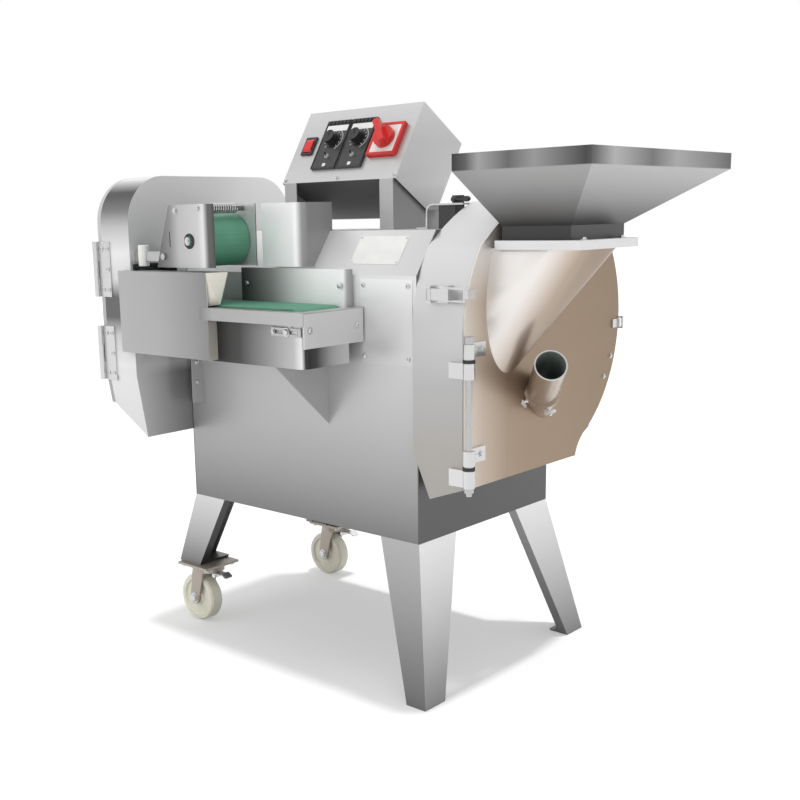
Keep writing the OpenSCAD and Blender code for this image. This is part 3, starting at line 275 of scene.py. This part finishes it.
XY = (1.0, 1.0, 0.0)
MAT = {
    # Cabinet: painted shade darker toward the bottom and painted reflection lighter near the top; the upward faces
    # carry a painted highlight, lightest at the left.
    "wrap": steel("cabinet_steel", [(276, 122), (360, 156), (450, 179), (560, 202), (700, 232), (741, 232),
                                    (816, 214)],
                  lay=X, metal=0.45, face=((0.0, -0.2, 0.98), X, [(-420, 254), (-300, 250), (-180, 228), (0, 212)])),
    # Access panel: painted reflection, lighter toward the top.
    "panel": steel("panel_steel", [(588, 212), (735, 244)], lay=X),
    # Cabinet ends and base pan: painted shade keeps them dark, a little lighter toward the top; the sides facing -X
    # are painted lighter.
    "ends": steel("end_steel", [(276, 90), (392, 98), (816, 112)],
                  face=((-1, 0, 0), Z, [(276, 140), (816, 200)])),
    # Rear panel and control back: painted shade, darker toward the bottom.
    "rear": steel("rear_steel", [(276, 156), (816, 212)]),
    # Fixed legs: painted shade darker toward the feet; the sides facing +X are painted lighter.
    "legs": steel("leg_steel", [(0, 108), (60, 124), (276, 180)], face=(X, Z, [(0, 130), (276, 236)])),
    # Caster legs: painted shade darker toward the bottom, and much darker on the sides facing +X.
    "caster_legs": steel("caster_leg_steel", [(133, 118), (200, 180), (276, 218)],
                         face=(X, Z, [(133, 74), (276, 100)])),
    # Leaf housing: painted shade darker toward the bottom; the front toward -Y carries painted light and dark
    # reflection bands; below 540 to 560 mm the tones are painted shade that darkens toward +Y.
    "leaf": steel("leaf_steel", [(416, 150), (480, 210), (541, 222), (760, 216), (850, 226), (927, 236)],
                  metal=0.35,
                  face=((0, -1, 0), Z, [(416, 70), (470, 90), (500, 200), (560, 228), (620, 200), (655, 96),
                                        (695, 96), (730, 215), (780, 232), (830, 190), (862, 120), (890, 70),
                                        (927, 60)]),
                  painted_light_band=((0, 0, -1), -560, -540, Y, [(-140, 226), (-100, 205), (-40, 165), (40, 116),
                                                    (120, 100)])),
    # Leaf lid: painted shade, darker toward the bottom.
    "lid": steel("lid_steel", [(416, 150), (927, 205)]),
    # Control box: painted reflection, lighter toward the top; the faces turned down are painted in shade.
    "control": steel("control_steel", [(840, 176), (900, 211), (975, 199), (1044, 212)], lay=X,
                     face=((0.0, -0.53, -0.85), Z, plain(108))),
    # Control pedestal: painted shade, slightly darker toward the bottom and darker on the sides facing +X.
    "pedestal": steel("pedestal_steel", [(816, 182), (907, 190)], metal=0.2,
                      face=(X, Z, [(816, 160), (907, 140)])),
    "gusset": steel("gusset_steel", plain(190), metal=0.35),
    # Press cover: painted shade on the sides facing +X.
    "cover": steel("cover_steel", plain(252), face=(X, Z, plain(154)), metal=0.3),
    # Feed cover: painted shade darkening toward +X, and a painted highlight on the sides facing +X.
    "feed": steel("feed_steel", [(-616, 176), (-500, 170), (-400, 150), (-350, 134)], X, X,
                  face=(X, Z, plain((238, 233, 222)))),
    # Conveyor pan: painted shade and reflections, dark at its left end and in a dark step near -268 mm, lighter
    # between.
    "pan": steel("pan_steel", [(-733, 40), (-490, 42), (-430, 70), (-363, 140), (-295, 188), (-277, 236),
                               (-268, 46), (-240, 80), (-200, 190), (-158, 225)], XY, X),
    # Conveyor tray: painted shade, darker toward its left end.
    "tray": steel("tray_steel", [(-379, 132), (-345, 168), (-118, 186)], X, X),
    # End plate: painted reflection, slightly lighter toward -Y.
    "end_plate": steel("end_plate_steel", [(-150, 226), (-4, 210)], Y, Y, metal=0.4),
    # Belt guard: painted shade dark at its left end and painted reflection lighter to the right; the sides facing +X
    # are painted darker.
    "guard": steel("guard_steel", [(-413, 76), (-330, 172), (-270, 236), (-220, 250), (-150, 252)], X, X,
                   face=(X, Z, plain(170)), metal=0.3),
    # Press frame: painted shade dark at its left end and painted reflection lighter to the right; the sides facing
    # +X are painted in shade.
    "press": steel("press_steel", [(-522, 88), (-480, 140), (-455, 186), (-400, 204), (-385, 232),
                                   (-362, 232)], X, X,
                   face=(X, Z, plain(104))),
    "caster": steel("caster_steel", plain((176, 167, 157)), cloud=0.14, rough=0.40),
    # Door: painted reflections, pale at its hinge side and warm tan toward +Y; the faces toward -Y are lighter
    # toward the top, and from 700 to 790 mm up a painted highlight turns near white at the hinge side.
    "door": steel("door_steel", [(-14, (218, 208, 198)), (40, (192, 176, 160)), (110, (165, 145, 126)),
                                 (170, (159, 138, 117)), (300, (155, 134, 112)), (486, (147, 126, 104))],
                  Y, Z, 0.36,
                  face=((0, -1, 0), Z, [(392, (196, 188, 180)), (860, (226, 223, 219))]),
                  painted_light_band=(Z, 700, 790, Y, [(-14, (246, 244, 242)), (60, (244, 240, 236)), (84, (226, 214, 204)),
                                         (120, (166, 146, 127)), (300, (155, 134, 112)),
                                         (486, (147, 126, 104))])),
    # Scoop: a painted highlight, near white, on its front left side, and painted shade in tan across its ridge.
    "scoop": steel("scoop_steel", [(-276, (234, 232, 230)), (-186, (241, 238, 235)), (-156, (237, 232, 228)),
                                   (-140, (224, 215, 208)), (-125, (205, 191, 179)), (-108, (178, 160, 143)),
                                   (-88, (158, 139, 121)), (-60, (151, 131, 113)), (-20, (149, 129, 110))],
                   (0.66, 0.61, -0.43), Z, 0.30),
    "tube": steel("tube_steel", plain((182, 166, 151)), rough=0.26),
    # Drum: painted reflection, lighter toward the top.
    "drum": steel("drum_steel", [(367, (166, 162, 158)), (450, (170, 166, 162)), (560, 180), (700, 212),
                                 (862, 236)]),
    # Hopper: painted shade dark at its neck, lighter toward the top, likewise on the sides facing +X; at the rim,
    # stripes of painted reflection run around it.
    "hopper": steel("hopper_steel", [(790, 58), (822, 66), (836, 100), (860, 136), (885, 158), (908, 168)],
                    face=(X, Z, [(790, 72), (822, 78), (836, 104), (860, 144), (885, 168), (908, 182)]),
                    painted_light_band=(Z, 907, 909, XY, [(73, 56), (100, 95), (124, 162), (180, 105), (227, 152), (274, 116),
                                            (315, 72), (335, 98), (393, 180), (511, 112), (596, 168),
                                            (732, 124), (800, 84)])),
    "flange": steel("flange_steel", plain(226)),
    "bracket": steel("bracket_steel", plain(210)),
    "turned": steel("turned_steel", plain(182), rough=0.24, cloud=0.05, metal=0.9),
    # Plated parts: a painted highlight on the faces turned up.
    "plated": steel("plated_steel", plain(204), rough=0.18, cloud=0.05, metal=0.95,
                    face=(Z, Z, plain(240))),
    "green": belt_rubber("green_belt", (0.118, 0.335, 0.225)),
    "ivory": plastic("ivory_nylon", (0.76, 0.745, 0.62), 0.38),
    "black": plastic("black_plastic", (0.040, 0.040, 0.042), 0.38),
    "knob": plastic("knob_plastic", (0.018, 0.018, 0.019), 0.34),
    "grey": plastic("pale_grey_plastic", (0.42, 0.42, 0.42), 0.40),
    "red": plastic("red_plastic", (0.66, 0.020, 0.016), 0.32),
    "lining": plastic("tube_lining", (0.20, 0.232, 0.216), 0.50),
    "white": plastic("white_plastic", (0.82, 0.82, 0.80), 0.40),
    "motor": plastic("motor_paint", (0.10, 0.12, 0.15), 0.45),
    "rubber": plastic("dark_rubber", (0.03, 0.03, 0.03), 0.7),
}

NODE_MATS = {
    "wrap": "cabinet_wrap",
    "panel": "access_panel",
    "ends": "cabinet_ends base_pan",
    "rear": "rear_panel control_back",
    "legs": "fixed_legs",
    "caster_legs": "caster_legs",
    "leaf": "leaf_housing",
    "lid": "leaf_lid",
    "control": "control_box",
    "pedestal": "control_pedestal",
    "gusset": "gussets",
    "cover": "press_cover",
    "feed": "feed_cover",
    "pan": "conveyor_pan",
    "tray": "conveyor_tray",
    "end_plate": "end_plate",
    "guard": "belt_guard",
    "press": "press_frame",
    "caster": "caster_plates caster_fork_front caster_fork_rear",
    "door": "bulb_door",
    "scoop": "feed_scoop",
    "tube": "feed_tube",
    "drum": "bulb_drum",
    "hopper": "hopper",
    "flange": "hopper_flange",
    "bracket": "interlock_bracket",
    "turned": "leaf_shaft bulb_shaft drum_pin drive_roller idle_roller press_pivot leaf_knives bulb_disc",
    "plated": "leaf_hinge lid_hinge drum_hinge door_hinge door_catches latch_bases latch_front latch_back "
              "latch_lid",
    "green": "conveyor_belt press_roller",
    "ivory": "caster_wheel_front caster_wheel_rear",
    "black": "speed_units interlock_switch interlock_lever",
    "knob": "speed_knob_left speed_knob_right",
    "red": "rocker main_switch",
    "white": "switch_bases",
    "motor": "motors",
}


def paint(obj, key):
    obj.data.materials.clear()
    obj.data.materials.append(MAT[key])


def soften(obj, width):
    """Rounds an object's sharp edges by a width in metres."""
    edge = obj.modifiers.new("edge", "BEVEL")
    edge.width = width
    edge.segments = 2
    edge.limit_method = "ANGLE"
    edge.angle_limit = math.radians(38)


EDGE = 0.0007
SKINNED = "feed_scoop"
for key, names in NODE_MATS.items():
    for name in names.split():
        paint(nodes[name], key)
        if name != SKINNED:
            soften(nodes[name], EDGE)


def smooth_skin(node, key, body, mesh_step=0.009, rounds=70, crease=42):
    """Shows a curved shell in the same shape with finer faces, shaded smoothly between its creases."""
    bm = bmesh.new()
    bm.from_mesh(nodes[node].data)
    bmesh.ops.remove_doubles(bm, verts=bm.verts, dist=0.00002)
    bmesh.ops.triangulate(bm, faces=bm.faces)
    for _ in range(6):
        long = [edge for edge in bm.edges if edge.calc_length() > mesh_step]
        if not long:
            break
        bmesh.ops.subdivide_edges(bm, edges=long, cuts=1)
        bmesh.ops.triangulate(bm, faces=bm.faces)
    bm.normal_update()
    bm.verts.index_update()
    limit = math.radians(crease)
    sharp = [any(edge.calc_face_angle(math.pi) > limit for edge in vert.link_edges) for vert in bm.verts]
    normals = [vert.normal.copy() for vert in bm.verts]
    near = [[edge.other_vert(vert).index for edge in vert.link_edges] for vert in bm.verts]
    near = [[j for j in row if not sharp[j]] for row in near]
    for _ in range(rounds):
        blurred = []
        for j, own in enumerate(normals):
            total = own.copy()
            if not sharp[j]:
                for k in near[j]:
                    total += normals[k]
            blurred.append(total.normalized())
        normals = blurred
    loops = []
    for face in bm.faces:
        face.smooth = True
        inner = [normals[vert.index] for vert in face.verts if not sharp[vert.index]]
        edge_normal = sum(inner, Vector()).normalized() if inner else face.normal.copy()
        for vert in face.verts:
            loops.append(edge_normal if sharp[vert.index] else normals[vert.index])
    mesh = bpy.data.meshes.new(node + "_skin")
    bm.to_mesh(mesh)
    bm.free()
    mesh.normals_split_custom_set(loops)
    mesh.materials.clear()
    mesh.materials.append(MAT[key])
    skin = bpy.data.objects.new(node + "_skin", mesh)
    bpy.context.scene.collection.objects.link(skin)
    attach(skin, body)
    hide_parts(node)


smooth_skin(SKINNED, "scoop", "door")


# Small pieces, built in millimetres from the machine's datum
class Shape:
    """Collects solids and turns them into one piece."""

    def __init__(self):
        self.bm = bmesh.new()

    def lathe(self, origin, axis, profile, steps=20):
        """Turns a list of (radius, height) round an axis; a radius of 0 closes an end."""
        origin, axis = Vector(origin), Vector(axis).normalized()
        u = axis.orthogonal().normalized()
        v = axis.cross(u)
        rings = []
        for radius, height in profile:
            centre = origin + axis * height
            if radius == 0:
                rings.append([self.bm.verts.new(centre)])
                continue
            turn = [2 * math.pi * i / steps for i in range(steps)]
            rings.append([self.bm.verts.new(centre + (u * math.cos(a) + v * math.sin(a)) * radius) for a in turn])
        for a, b in zip(rings, rings[1:]):
            for i in range(steps):
                j = (i + 1) % steps
                if len(a) == 1 and len(b) == 1:
                    continue
                if len(a) == 1:
                    self.bm.faces.new((a[0], b[i], b[j]))
                elif len(b) == 1:
                    self.bm.faces.new((a[j], a[i], b[0]))
                else:
                    self.bm.faces.new((a[i], a[j], b[j], b[i]))

    def prism(self, origin, u, v, outline, depth):
        """Raises a closed outline of (u, v) points by depth along u x v."""
        origin, u, v = Vector(origin), Vector(u).normalized(), Vector(v).normalized()
        rise = u.cross(v).normalized() * depth
        low = [self.bm.verts.new(origin + u * a + v * b) for a, b in outline]
        high = [self.bm.verts.new(p.co + rise) for p in low]
        self.bm.faces.new(low[::-1])
        self.bm.faces.new(high)
        for i in range(len(low)):
            j = (i + 1) % len(low)
            self.bm.faces.new((low[i], low[j], high[j], high[i]))

    def frame(self, origin, u, v, outer, inner, depth):
        """A flat rectangular frame: outer and inner are (u0, u1, v0, v1)."""
        a0, a1, b0, b1 = outer
        c0, c1, d0, d1 = inner
        for box in ((a0, c0, b0, b1), (c1, a1, b0, b1), (c0, c1, b0, d0), (c0, c1, d1, b1)):
            self.prism(origin, u, v, rect(*box), depth)

    def pan_screw(self, origin, axis, r=4.0):
        """Pan head with a driver dimple and a washer."""
        self.lathe(origin, axis, [(r * 1.45, 0), (r * 1.45, 0.9), (r * 1.02, 0.9), (r, 1.6), (r * 0.8, 2.6),
                                  (r * 0.42, 3.0), (r * 0.36, 2.0), (0, 1.8)], 18)

    def hex_bolt(self, origin, axis, r=6.0, h=4.5):
        """Washer, hexagon head and a chamfer."""
        self.lathe(origin, axis, [(r * 1.4, 0), (r * 1.4, 1.2), (r * 0.9, 1.2)], 24)
        self.lathe(origin, axis, [(r, 1.2), (r, h), (r * 0.82, h + 0.9), (0, h + 0.9)], 6)

    def done(self, name, key, body, bevel=0.0):
        """Makes the piece, in one material, and rides it on a body; bevel is in millimetres."""
        bm = self.bm
        bmesh.ops.remove_doubles(bm, verts=bm.verts, dist=1e-4)
        bmesh.ops.recalc_face_normals(bm, faces=bm.faces)
        for vert in bm.verts:
            vert.co = at(*vert.co)
        mesh = bpy.data.meshes.new(name)
        bm.to_mesh(mesh)
        bm.free()
        mesh.materials.append(MAT[key])
        obj = bpy.data.objects.new(name, mesh)
        bpy.context.scene.collection.objects.link(obj)
        if bevel:
            soften(obj, bevel / 1000.0)
        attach(obj, body)


def rect(u0, u1, v0, v1):
    return [(u0, v0), (u1, v0), (u1, v1), (u0, v1)]


def rounded(u0, u1, v0, v1, r, steps=5):
    """A rectangle outline with rounded corners."""
    points = []
    corners = ((u1 - r, v0 + r, -90), (u1 - r, v1 - r, 0), (u0 + r, v1 - r, 90), (u0 + r, v0 + r, 180))
    for cu, cv, start in corners:
        for i in range(steps + 1):
            a = math.radians(start + 90 * i / steps)
            points.append((cu + r * math.cos(a), cv + r * math.sin(a)))
    return points


PX, NX = (1, 0, 0), (-1, 0, 0)
PY, NY = (0, 1, 0), (0, -1, 0)
PZ, NZ = (0, 0, 1), (0, 0, -1)
SLOPE_UP = Vector((0.0, 54.0, 75.0)).normalized()
SLOPE_OUT = Vector((0.0, -75.0, 54.0)).normalized()

# Places on the machine, in millimetres from the datum
REAR_Y = 408
LID_HINGE_Z = (529, 695)
CASTER_X, WHEEL_X, WHEEL_Z = -575, -600, 50
CASTERS = (("caster_front", 4.0), ("caster_rear", 404.0))
DOOR_X = 107.4
FLANGE_TOP, FLANGE_ADD = 790, 7.5
TUBE = Vector((0.551, -0.657, 0.515))
TUBE_FOOT = Vector((DOOR_X, 211.4, 515.6))
TUBE_LEN = 150
COLLAR = Vector((127.2, 187.7, 534.1))
PRESS_X, PRESS_Y, PRESS_Z = -425, -131, 803
SPRING_X, SPRING_Z = -398, 861

# Screws on the sheet metal
screws = Shape()
for x, z in ((-118, 724), (-18, 724), (-118, 600), (-18, 600)):
    screws.pan_screw((x, -1.5, z), NY, 3.6)
for y in (-20, -138):
    screws.pan_screw((-118, y, 656), PX, 4.2)
for x in (-393, -157):
    screws.pan_screw((x, -21, 722), NY, 3.8)
for z in (520, 560):
    screws.pan_screw((-559, -15, z), PX, 4.0)
for x in (-583, -447, -300, -152, -15):
    for z in (290, 802):
        screws.pan_screw((x, REAR_Y, z), PY, 4.0)
for x in (-583, -15):
    for z in (440, 620):
        screws.pan_screw((x, REAR_Y, z), PY, 4.0)
for z in LID_HINGE_Z:
    for dz in (14, 94):
        for x in (-667, -684):
            screws.pan_screw((x, -139.4, z + dz), NY, 3.4)
    screws.pan_screw((-667, -139.4, z + 54), NY, 3.4)
screws.done("sheet_screws", "plated", "cabinet")

lid_screws = Shape()
for z in LID_HINGE_Z:
    for dz in (14, 54, 94):
        lid_screws.pan_screw((-700, -118, z + dz), NX, 3.2)
lid_screws.done("lid_screws", "plated", "lid")

# Caster fixings
for body, y in CASTERS:
    axle = Shape()
    for s in (-1, 1):
        axle.hex_bolt((WHEEL_X, y + s * 21, WHEEL_Z), (0, s, 0), 8.0, 6.0)
    axle.done(body + "_axle_nuts", "plated", body)
    brake = Shape()
    brake.prism((-548, y - 11, 110), PX, PY, rounded(0, 26, 0, 22, 5), 3)
    brake.prism((-524, y - 11, 113), (0.86, 0, -0.5), PY, rounded(-2, 14, 0, 22, 4), 3)
    brake.lathe((-548, y - 11, 107), PY, [(0, 0), (5, 0), (5, 22), (0, 22)], 16)
    brake.done(body + "_brake_pedal", "plated", body, 0.6)
plate_bolts = Shape()
for _, y in CASTERS:
    for sx in (-35, 35):
        for sy in (-35, 35):
            plate_bolts.hex_bolt((CASTER_X + sx, y + sy, 128), NZ, 5.5, 4.0)
plate_bolts.done("caster_plate_bolts", "plated", "cabinet")

# Control face: a point is across, up and out from its lower left corner
TILT = math.radians(32.0)
FACE_UP = Vector((0.0, math.sin(TILT), math.cos(TILT)))
FACE_OUT = Vector((0.0, -math.cos(TILT), math.sin(TILT)))


def on_face(u, v, out=0.0):
    return Vector((-434.0 + u, 121.0, 907.0)) + FACE_UP * v + FACE_OUT * out


face_screws = Shape()
for u, v in ((6, 7), (144, 7), (283, 7)):
    face_screws.pan_screw(on_face(u, v), FACE_OUT, 3.0)
face_screws.done("face_screws", "plated", "cabinet")

strips, rims, teeth, ticks, arcs, lamps, toggles, levers = [Shape() for i in range(8)]
for u in (67.0, 132.0):
    base = on_face(u, 27, 5)
    rims.frame(base, PX, FACE_UP, (0, 62, 0, 107), (1.8, 60.2, 1.8, 105.2), 0.9)
    strips.prism(base, PX, FACE_UP, rounded(4, 58, 83, 96, 1.2), 0.6)
    for i in range(6):
        teeth.prism(base, PX, FACE_UP, rounded(4 + 9.6 * i, 10 + 9.6 * i, 99, 105, 0.8), 2.2)
    centre = on_face(u + 31, 90, 5)
    for i in range(11):
        angle = math.radians(225 - 27 * i)
        ray = Vector((math.cos(angle), 0, 0)) + FACE_UP * math.sin(angle)
        across = FACE_OUT.cross(ray)
        long = 21.5 if i % 5 == 0 else 20.0
        ticks.prism(centre, ray, across, rect(17.0, long, -0.5, 0.5), 0.3)
    sweep = [math.radians(a) for a in range(-62, 79, 10)]
    outline = [(24.5 * math.cos(a), 24.5 * math.sin(a)) for a in sweep]
    outline += [(22.5 * math.cos(a), 22.5 * math.sin(a)) for a in reversed(sweep)]
    arcs.prism(centre, PX, FACE_UP, outline, 0.3)
    lamps.prism(base, PX, FACE_UP, rounded(28.5, 36.5, 4, 11, 1.5), 1.2)
    toggles.lathe(on_face(u + 31, 54, 5), FACE_OUT, [(5.4, 0), (5.4, 0.9), (4.9, 1.4), (3.2, 1.4)], 6)
    toggles.lathe(on_face(u + 31, 54, 5), FACE_OUT, [(3.2, 0.9), (3.2, 3.0), (2.6, 3.6), (0, 3.6)], 16)
    lean = (FACE_OUT + FACE_UP * 0.45).normalized()
    levers.lathe(on_face(u + 31, 54, 8), lean, [(1.3, 0), (1.8, 5), (2.0, 7), (1.4, 8), (0, 8.3)], 14)
strips.done("unit_strips", "white", "cabinet", 0.2)
rims.done("unit_rims", "knob", "cabinet", 0.4)
teeth.done("unit_terminals", "knob", "cabinet", 0.3)
ticks.done("dial_ticks", "white", "cabinet")
arcs.done("dial_arcs", "grey", "cabinet")
lamps.done("unit_lamps", "white", "cabinet", 0.4)
toggles.done("toggle_nuts", "grey", "cabinet")
levers.done("toggle_levers", "knob", "cabinet")

bezel = Shape()
bezel.frame(on_face(36, 82, 0), PX, FACE_UP, (-14.6, 14.6, -19.6, 19.6), (-10.6, 10.6, -15.6, 15.6), 4.0)
bezel.done("rocker_bezel", "knob", "cabinet", 0.5)
border = Shape()
border.frame(on_face(236, 82, 0), PX, FACE_UP, (-34.2, 34.2, -34.2, 34.2), (-29, 29, -29, 29), 9.4)
border.done("isolator_border", "red", "cabinet", 0.6)

# Bare plate on the sloped panel, with its rivets
plate_base = Vector((0.0, 0.0, 741.0))
bare = Shape()
bare.prism(plate_base, PX, SLOPE_UP, rounded(-162, -52, 22, 80, 3), 0.8)
bare.done("bare_plate", "white", "cabinet", 0.2)
rivets = Shape()
for u in (-158, -56):
    for v in (26, 76):
        rivets.lathe(plate_base + Vector((u, 0, 0)) + SLOPE_UP * v + SLOPE_OUT * 0.8, SLOPE_OUT,
                     [(2.2, 0), (2.0, 0.6), (1.2, 1.1), (0, 1.3)], 14)
rivets.done("plate_rivets", "plated", "cabinet")

# Flange: its bolts, and the plate and edge that bring it to its full thickness
flange_bolts = Shape()
for y in (84, 205):
    flange_bolts.hex_bolt((263, y, FLANGE_TOP + FLANGE_ADD), PZ, 4.6, 3.6)
flange_bolts.done("flange_bolts", "plated", "door")
lip = Shape()
lip.frame((0, 0, FLANGE_TOP), PX, PY, (119.4, 274.4, 54, 236), (121.9, 250.9, 67.5, 234.5), FLANGE_ADD)
lip.frame((0, 0, FLANGE_TOP - FLANGE_ADD), PX, PY, (118.2, 275.6, 52.8, 237.2), (119.5, 274.3, 54.1, 235.9),
          2 * FLANGE_ADD)
lip.done("flange_lip", "flange", "door", 0.5)

# Feed tube: its clamp, lining and rim
clamp = Shape()
for out in (Vector((-0.50, -0.75, -0.43)), Vector((0.52, -0.21, -0.83))):
    out.normalize()
    clamp.lathe(COLLAR + out * 31.5, out,
                [(5.5, 0), (5.5, 2.5), (3.2, 2.5), (3.2, 14), (2.4, 15), (0, 15)], 18)
    wing = out.cross(TUBE).normalized()
    clamp.prism(COLLAR + out * 36 - out.cross(wing) * 1.1, wing, out, rounded(-11, 11, 2, 8, 2.8), 2.2)
clamp.done("tube_clamp_bolts", "plated", "door", 0.3)
lining = Shape()
lining.lathe(TUBE_FOOT + TUBE * 6, TUBE, [(24.9, 0), (25.3, 0), (25.3, 143), (24.9, 143), (24.9, 0)], 48)
lining.done("tube_lining", "lining", "door")
rim = Shape()
rim.lathe(TUBE_FOOT + TUBE * TUBE_LEN, TUBE,
          [(25.2, 0), (27.7, 0), (27.7, 1.0), (27.2, 1.4), (25.7, 1.4), (25.2, 1.0), (25.2, 0)], 48)
rim.done("tube_rim", "bracket", "door")

# Door: edge screws, hinge bolts and washers
door_screws = Shape()
for y, z in ((458, 567), (434, 530)):
    door_screws.hex_bolt((DOOR_X, y, z), PX, 3.4, 2.6)
door_screws.done("door_edge_screws", "plated", "door")

hinge_bolts = Shape()
for z in (448.5, 624):
    for y in (8, 28):
        hinge_bolts.hex_bolt((DOOR_X + 4, y, z), PX, 4.4, 3.2)
hinge_bolts.done("door_hinge_bolts", "plated", "door")
washers = Shape()
for z in (428.6, 605.6):
    washers.lathe((118.1, -16, z), PZ, [(8.6, 0), (10.4, 0), (10.4, 5.2), (8.6, 5.2), (8.6, 0)], 28)
washers.done("hinge_washers", "rubber", "cabinet")

# Press unit: bearing ring, shaft nut, tie bar nuts, spring and the nylon bush on its pivot arm
bearing = Shape()
bearing.lathe((PRESS_X, PRESS_Y, PRESS_Z), NY,
              [(8.7, 0), (14, 0), (14, 1.0), (13, 1.8), (9.4, 1.8), (8.7, 1.0), (8.7, 0)], 32)
bearing.done("press_bearing", "rubber", "press_arm", 0.3)
shaft_nut = Shape()
shaft_nut.hex_bolt((PRESS_X, PRESS_Y - 4, PRESS_Z), NY, 5.4, 3.4)
shaft_nut.done("press_shaft_nut", "plated", "press_drum")
tie_nuts = Shape()
for x, z in ((-462, 858), (SPRING_X, SPRING_Z)):
    tie_nuts.hex_bolt((x, PRESS_Y, z), NY, 4.2, 3.0)
tie_nuts.done("press_tie_nuts", "plated", "press_arm")
spring = Shape()
turns, sides, rounds = 11, 8, 16
coil_r, wire_r = 8.2, 1.3
rings = []
for i in range(turns * rounds + 1):
    turn = 2 * math.pi * i / rounds
    out = Vector((math.cos(turn), 0, math.sin(turn)))
    centre = Vector((SPRING_X, -104 + 62 * i / (turns * rounds), SPRING_Z)) + out * coil_r
    bend = [2 * math.pi * j / sides for j in range(sides)]
    rings.append([spring.bm.verts.new(centre + (out * math.cos(b) + Vector(PY) * math.sin(b)) * wire_r)
                  for b in bend])
for a, b in zip(rings, rings[1:]):
    for j in range(sides):
        k = (j + 1) % sides
        spring.bm.faces.new((a[j], a[k], b[k], b[j]))
spring.bm.faces.new(rings[0])
spring.bm.faces.new(rings[-1])
spring.done("press_spring", "plated", "press_arm")
bush = Shape()
bush.lathe((-572, -123, 756), PZ,
           [(0, 0), (9.5, 0), (10.5, 1.4), (10.5, 38.6), (9.5, 40), (5, 40), (4.4, 38.5), (0, 38.5)], 28)
bush.done("pivot_bush", "white", "cabinet", 0.3)

# Belt tension adjuster on the pan's front
adjuster = Shape()
adjuster.frame((-214, -133, 643), PX, PZ, (0, 72, 0, 15), (8, 64, 4.5, 10.5), 2.2)
adjuster.done("tension_plate", "turned", "cabinet", 0.4)
nut = Shape()
nut.hex_bolt((-176, -135.2, 650.5), NY, 5.6, 4.0)
nut.hex_bolt((-208, -135.2, 650.5), NY, 3.2, 2.4)
nut.done("tension_nuts", "plated", "cabinet")

# Cable gland on the back
gland = Shape()
gland.lathe((-60, REAR_Y, 336), PY, [(15, 0), (15, 5), (13.6, 6.2)], 6)
gland.lathe((-60, REAR_Y, 336), PY,
            [(12.4, 5), (12.4, 16), (10.6, 21), (6.4, 22.5), (5.6, 21), (5.2, 12), (0, 12)], 24)
gland.done("cable_gland", "black", "cabinet", 0.3)


# Floor, light and backdrop
def shown(n):
    """1 for what the camera sees straight, in a mirror or through glass."""
    path = n.add("ShaderNodeLightPath")
    seen = n.math("MAXIMUM", path.outputs["Is Camera Ray"], path.outputs["Is Glossy Ray"])
    return n.math("MAXIMUM", seen, path.outputs["Is Transmission Ray"])


def add_floor():
    mesh = bpy.data.meshes.new("floor")
    bm = bmesh.new()
    bmesh.ops.create_grid(bm, x_segments=1, y_segments=1, size=40.0)
    bm.to_mesh(mesh)
    bm.free()
    floor = bpy.data.objects.new("floor", mesh)
    floor.location.z = -0.0005
    bpy.context.scene.collection.objects.link(floor)
    mat = bpy.data.materials.new("floor")
    mat.use_nodes = True
    n = Nodes(mat.node_tree)
    out = n.add("ShaderNodeOutputMaterial")
    diffuse = n.add("ShaderNodeBsdfDiffuse")
    diffuse.inputs["Color"].default_value = (0.50, 0.50, 0.50, 1.0)
    glow = n.add("ShaderNodeEmission")
    glow.inputs["Color"].default_value = (1.0, 1.0, 1.0, 1.0)
    n.link(n.math("MULTIPLY", shown(n), 0.33), glow.inputs["Strength"])
    total = n.add("ShaderNodeAddShader")
    n.link(diffuse.outputs[0], total.inputs[0])
    n.link(glow.outputs[0], total.inputs[1])
    n.link(total.outputs[0], out.inputs["Surface"])
    mesh.materials.append(mat)


def add_world():
    world = bpy.data.worlds.new("studio")
    world.use_nodes = True
    bpy.context.scene.world = world
    n = Nodes(world.node_tree)
    out = n.add("ShaderNodeOutputWorld")
    studio = n.add("ShaderNodeBackground")
    studio.inputs["Color"].default_value = (0.80, 0.80, 0.80, 1.0)
    white = n.add("ShaderNodeBackground")
    white.inputs["Color"].default_value = (1.0, 1.0, 1.0, 1.0)
    pick = n.add("ShaderNodeMixShader")
    n.link(shown(n), pick.inputs[0])
    n.link(studio.outputs[0], pick.inputs[1])
    n.link(white.outputs[0], pick.inputs[2])
    n.link(pick.outputs[0], out.inputs["Surface"])


def add_sun(name, direction, spread, strength):
    data = bpy.data.lights.new(name, "SUN")
    data.angle = math.radians(spread)
    data.energy = strength
    lamp = bpy.data.objects.new(name, data)
    lamp.rotation_euler = Vector(direction).to_track_quat("-Z", "Y").to_euler()
    lamp.visible_glossy = False
    bpy.context.scene.collection.objects.link(lamp)
    return lamp


def add_panel(name, place, target, size, power):
    data = bpy.data.lights.new(name, "AREA")
    data.size = size
    data.energy = power
    lamp = bpy.data.objects.new(name, data)
    lamp.location = place
    lamp.rotation_euler = (Vector(target) - Vector(place)).to_track_quat("-Z", "Y").to_euler()
    lamp.visible_glossy = False
    bpy.context.scene.collection.objects.link(lamp)


add_floor()
add_world()
add_sun("overhead", (0.05, 0.10, -1.0), 30.0, 0.6)
add_panel("fill", (-1.0, -2.1, 1.5), (-0.15, -0.2, 0.72), 1.2, 9.0)

# A lamp for the floor alone, which only the low parts shade, as in the photograph
footprint = add_sun("footprint", (-0.12, -0.12, -1.0), 4.0, 2.4)
LOW = """base_pan cabinet_wrap cabinet_ends rear_panel fixed_legs caster_legs caster_plates caster_fork_front
    caster_fork_rear caster_wheel_front caster_wheel_rear bulb_drum bulb_door"""
linked = {"receiver": [bpy.data.objects["floor"]], "blocker": [nodes[name] for name in LOW.split()]}
for role, members in linked.items():
    group = bpy.data.collections.new("footprint_" + role)
    for member in members:
        group.objects.link(member)
    setattr(footprint.light_linking, role + "_collection", group)
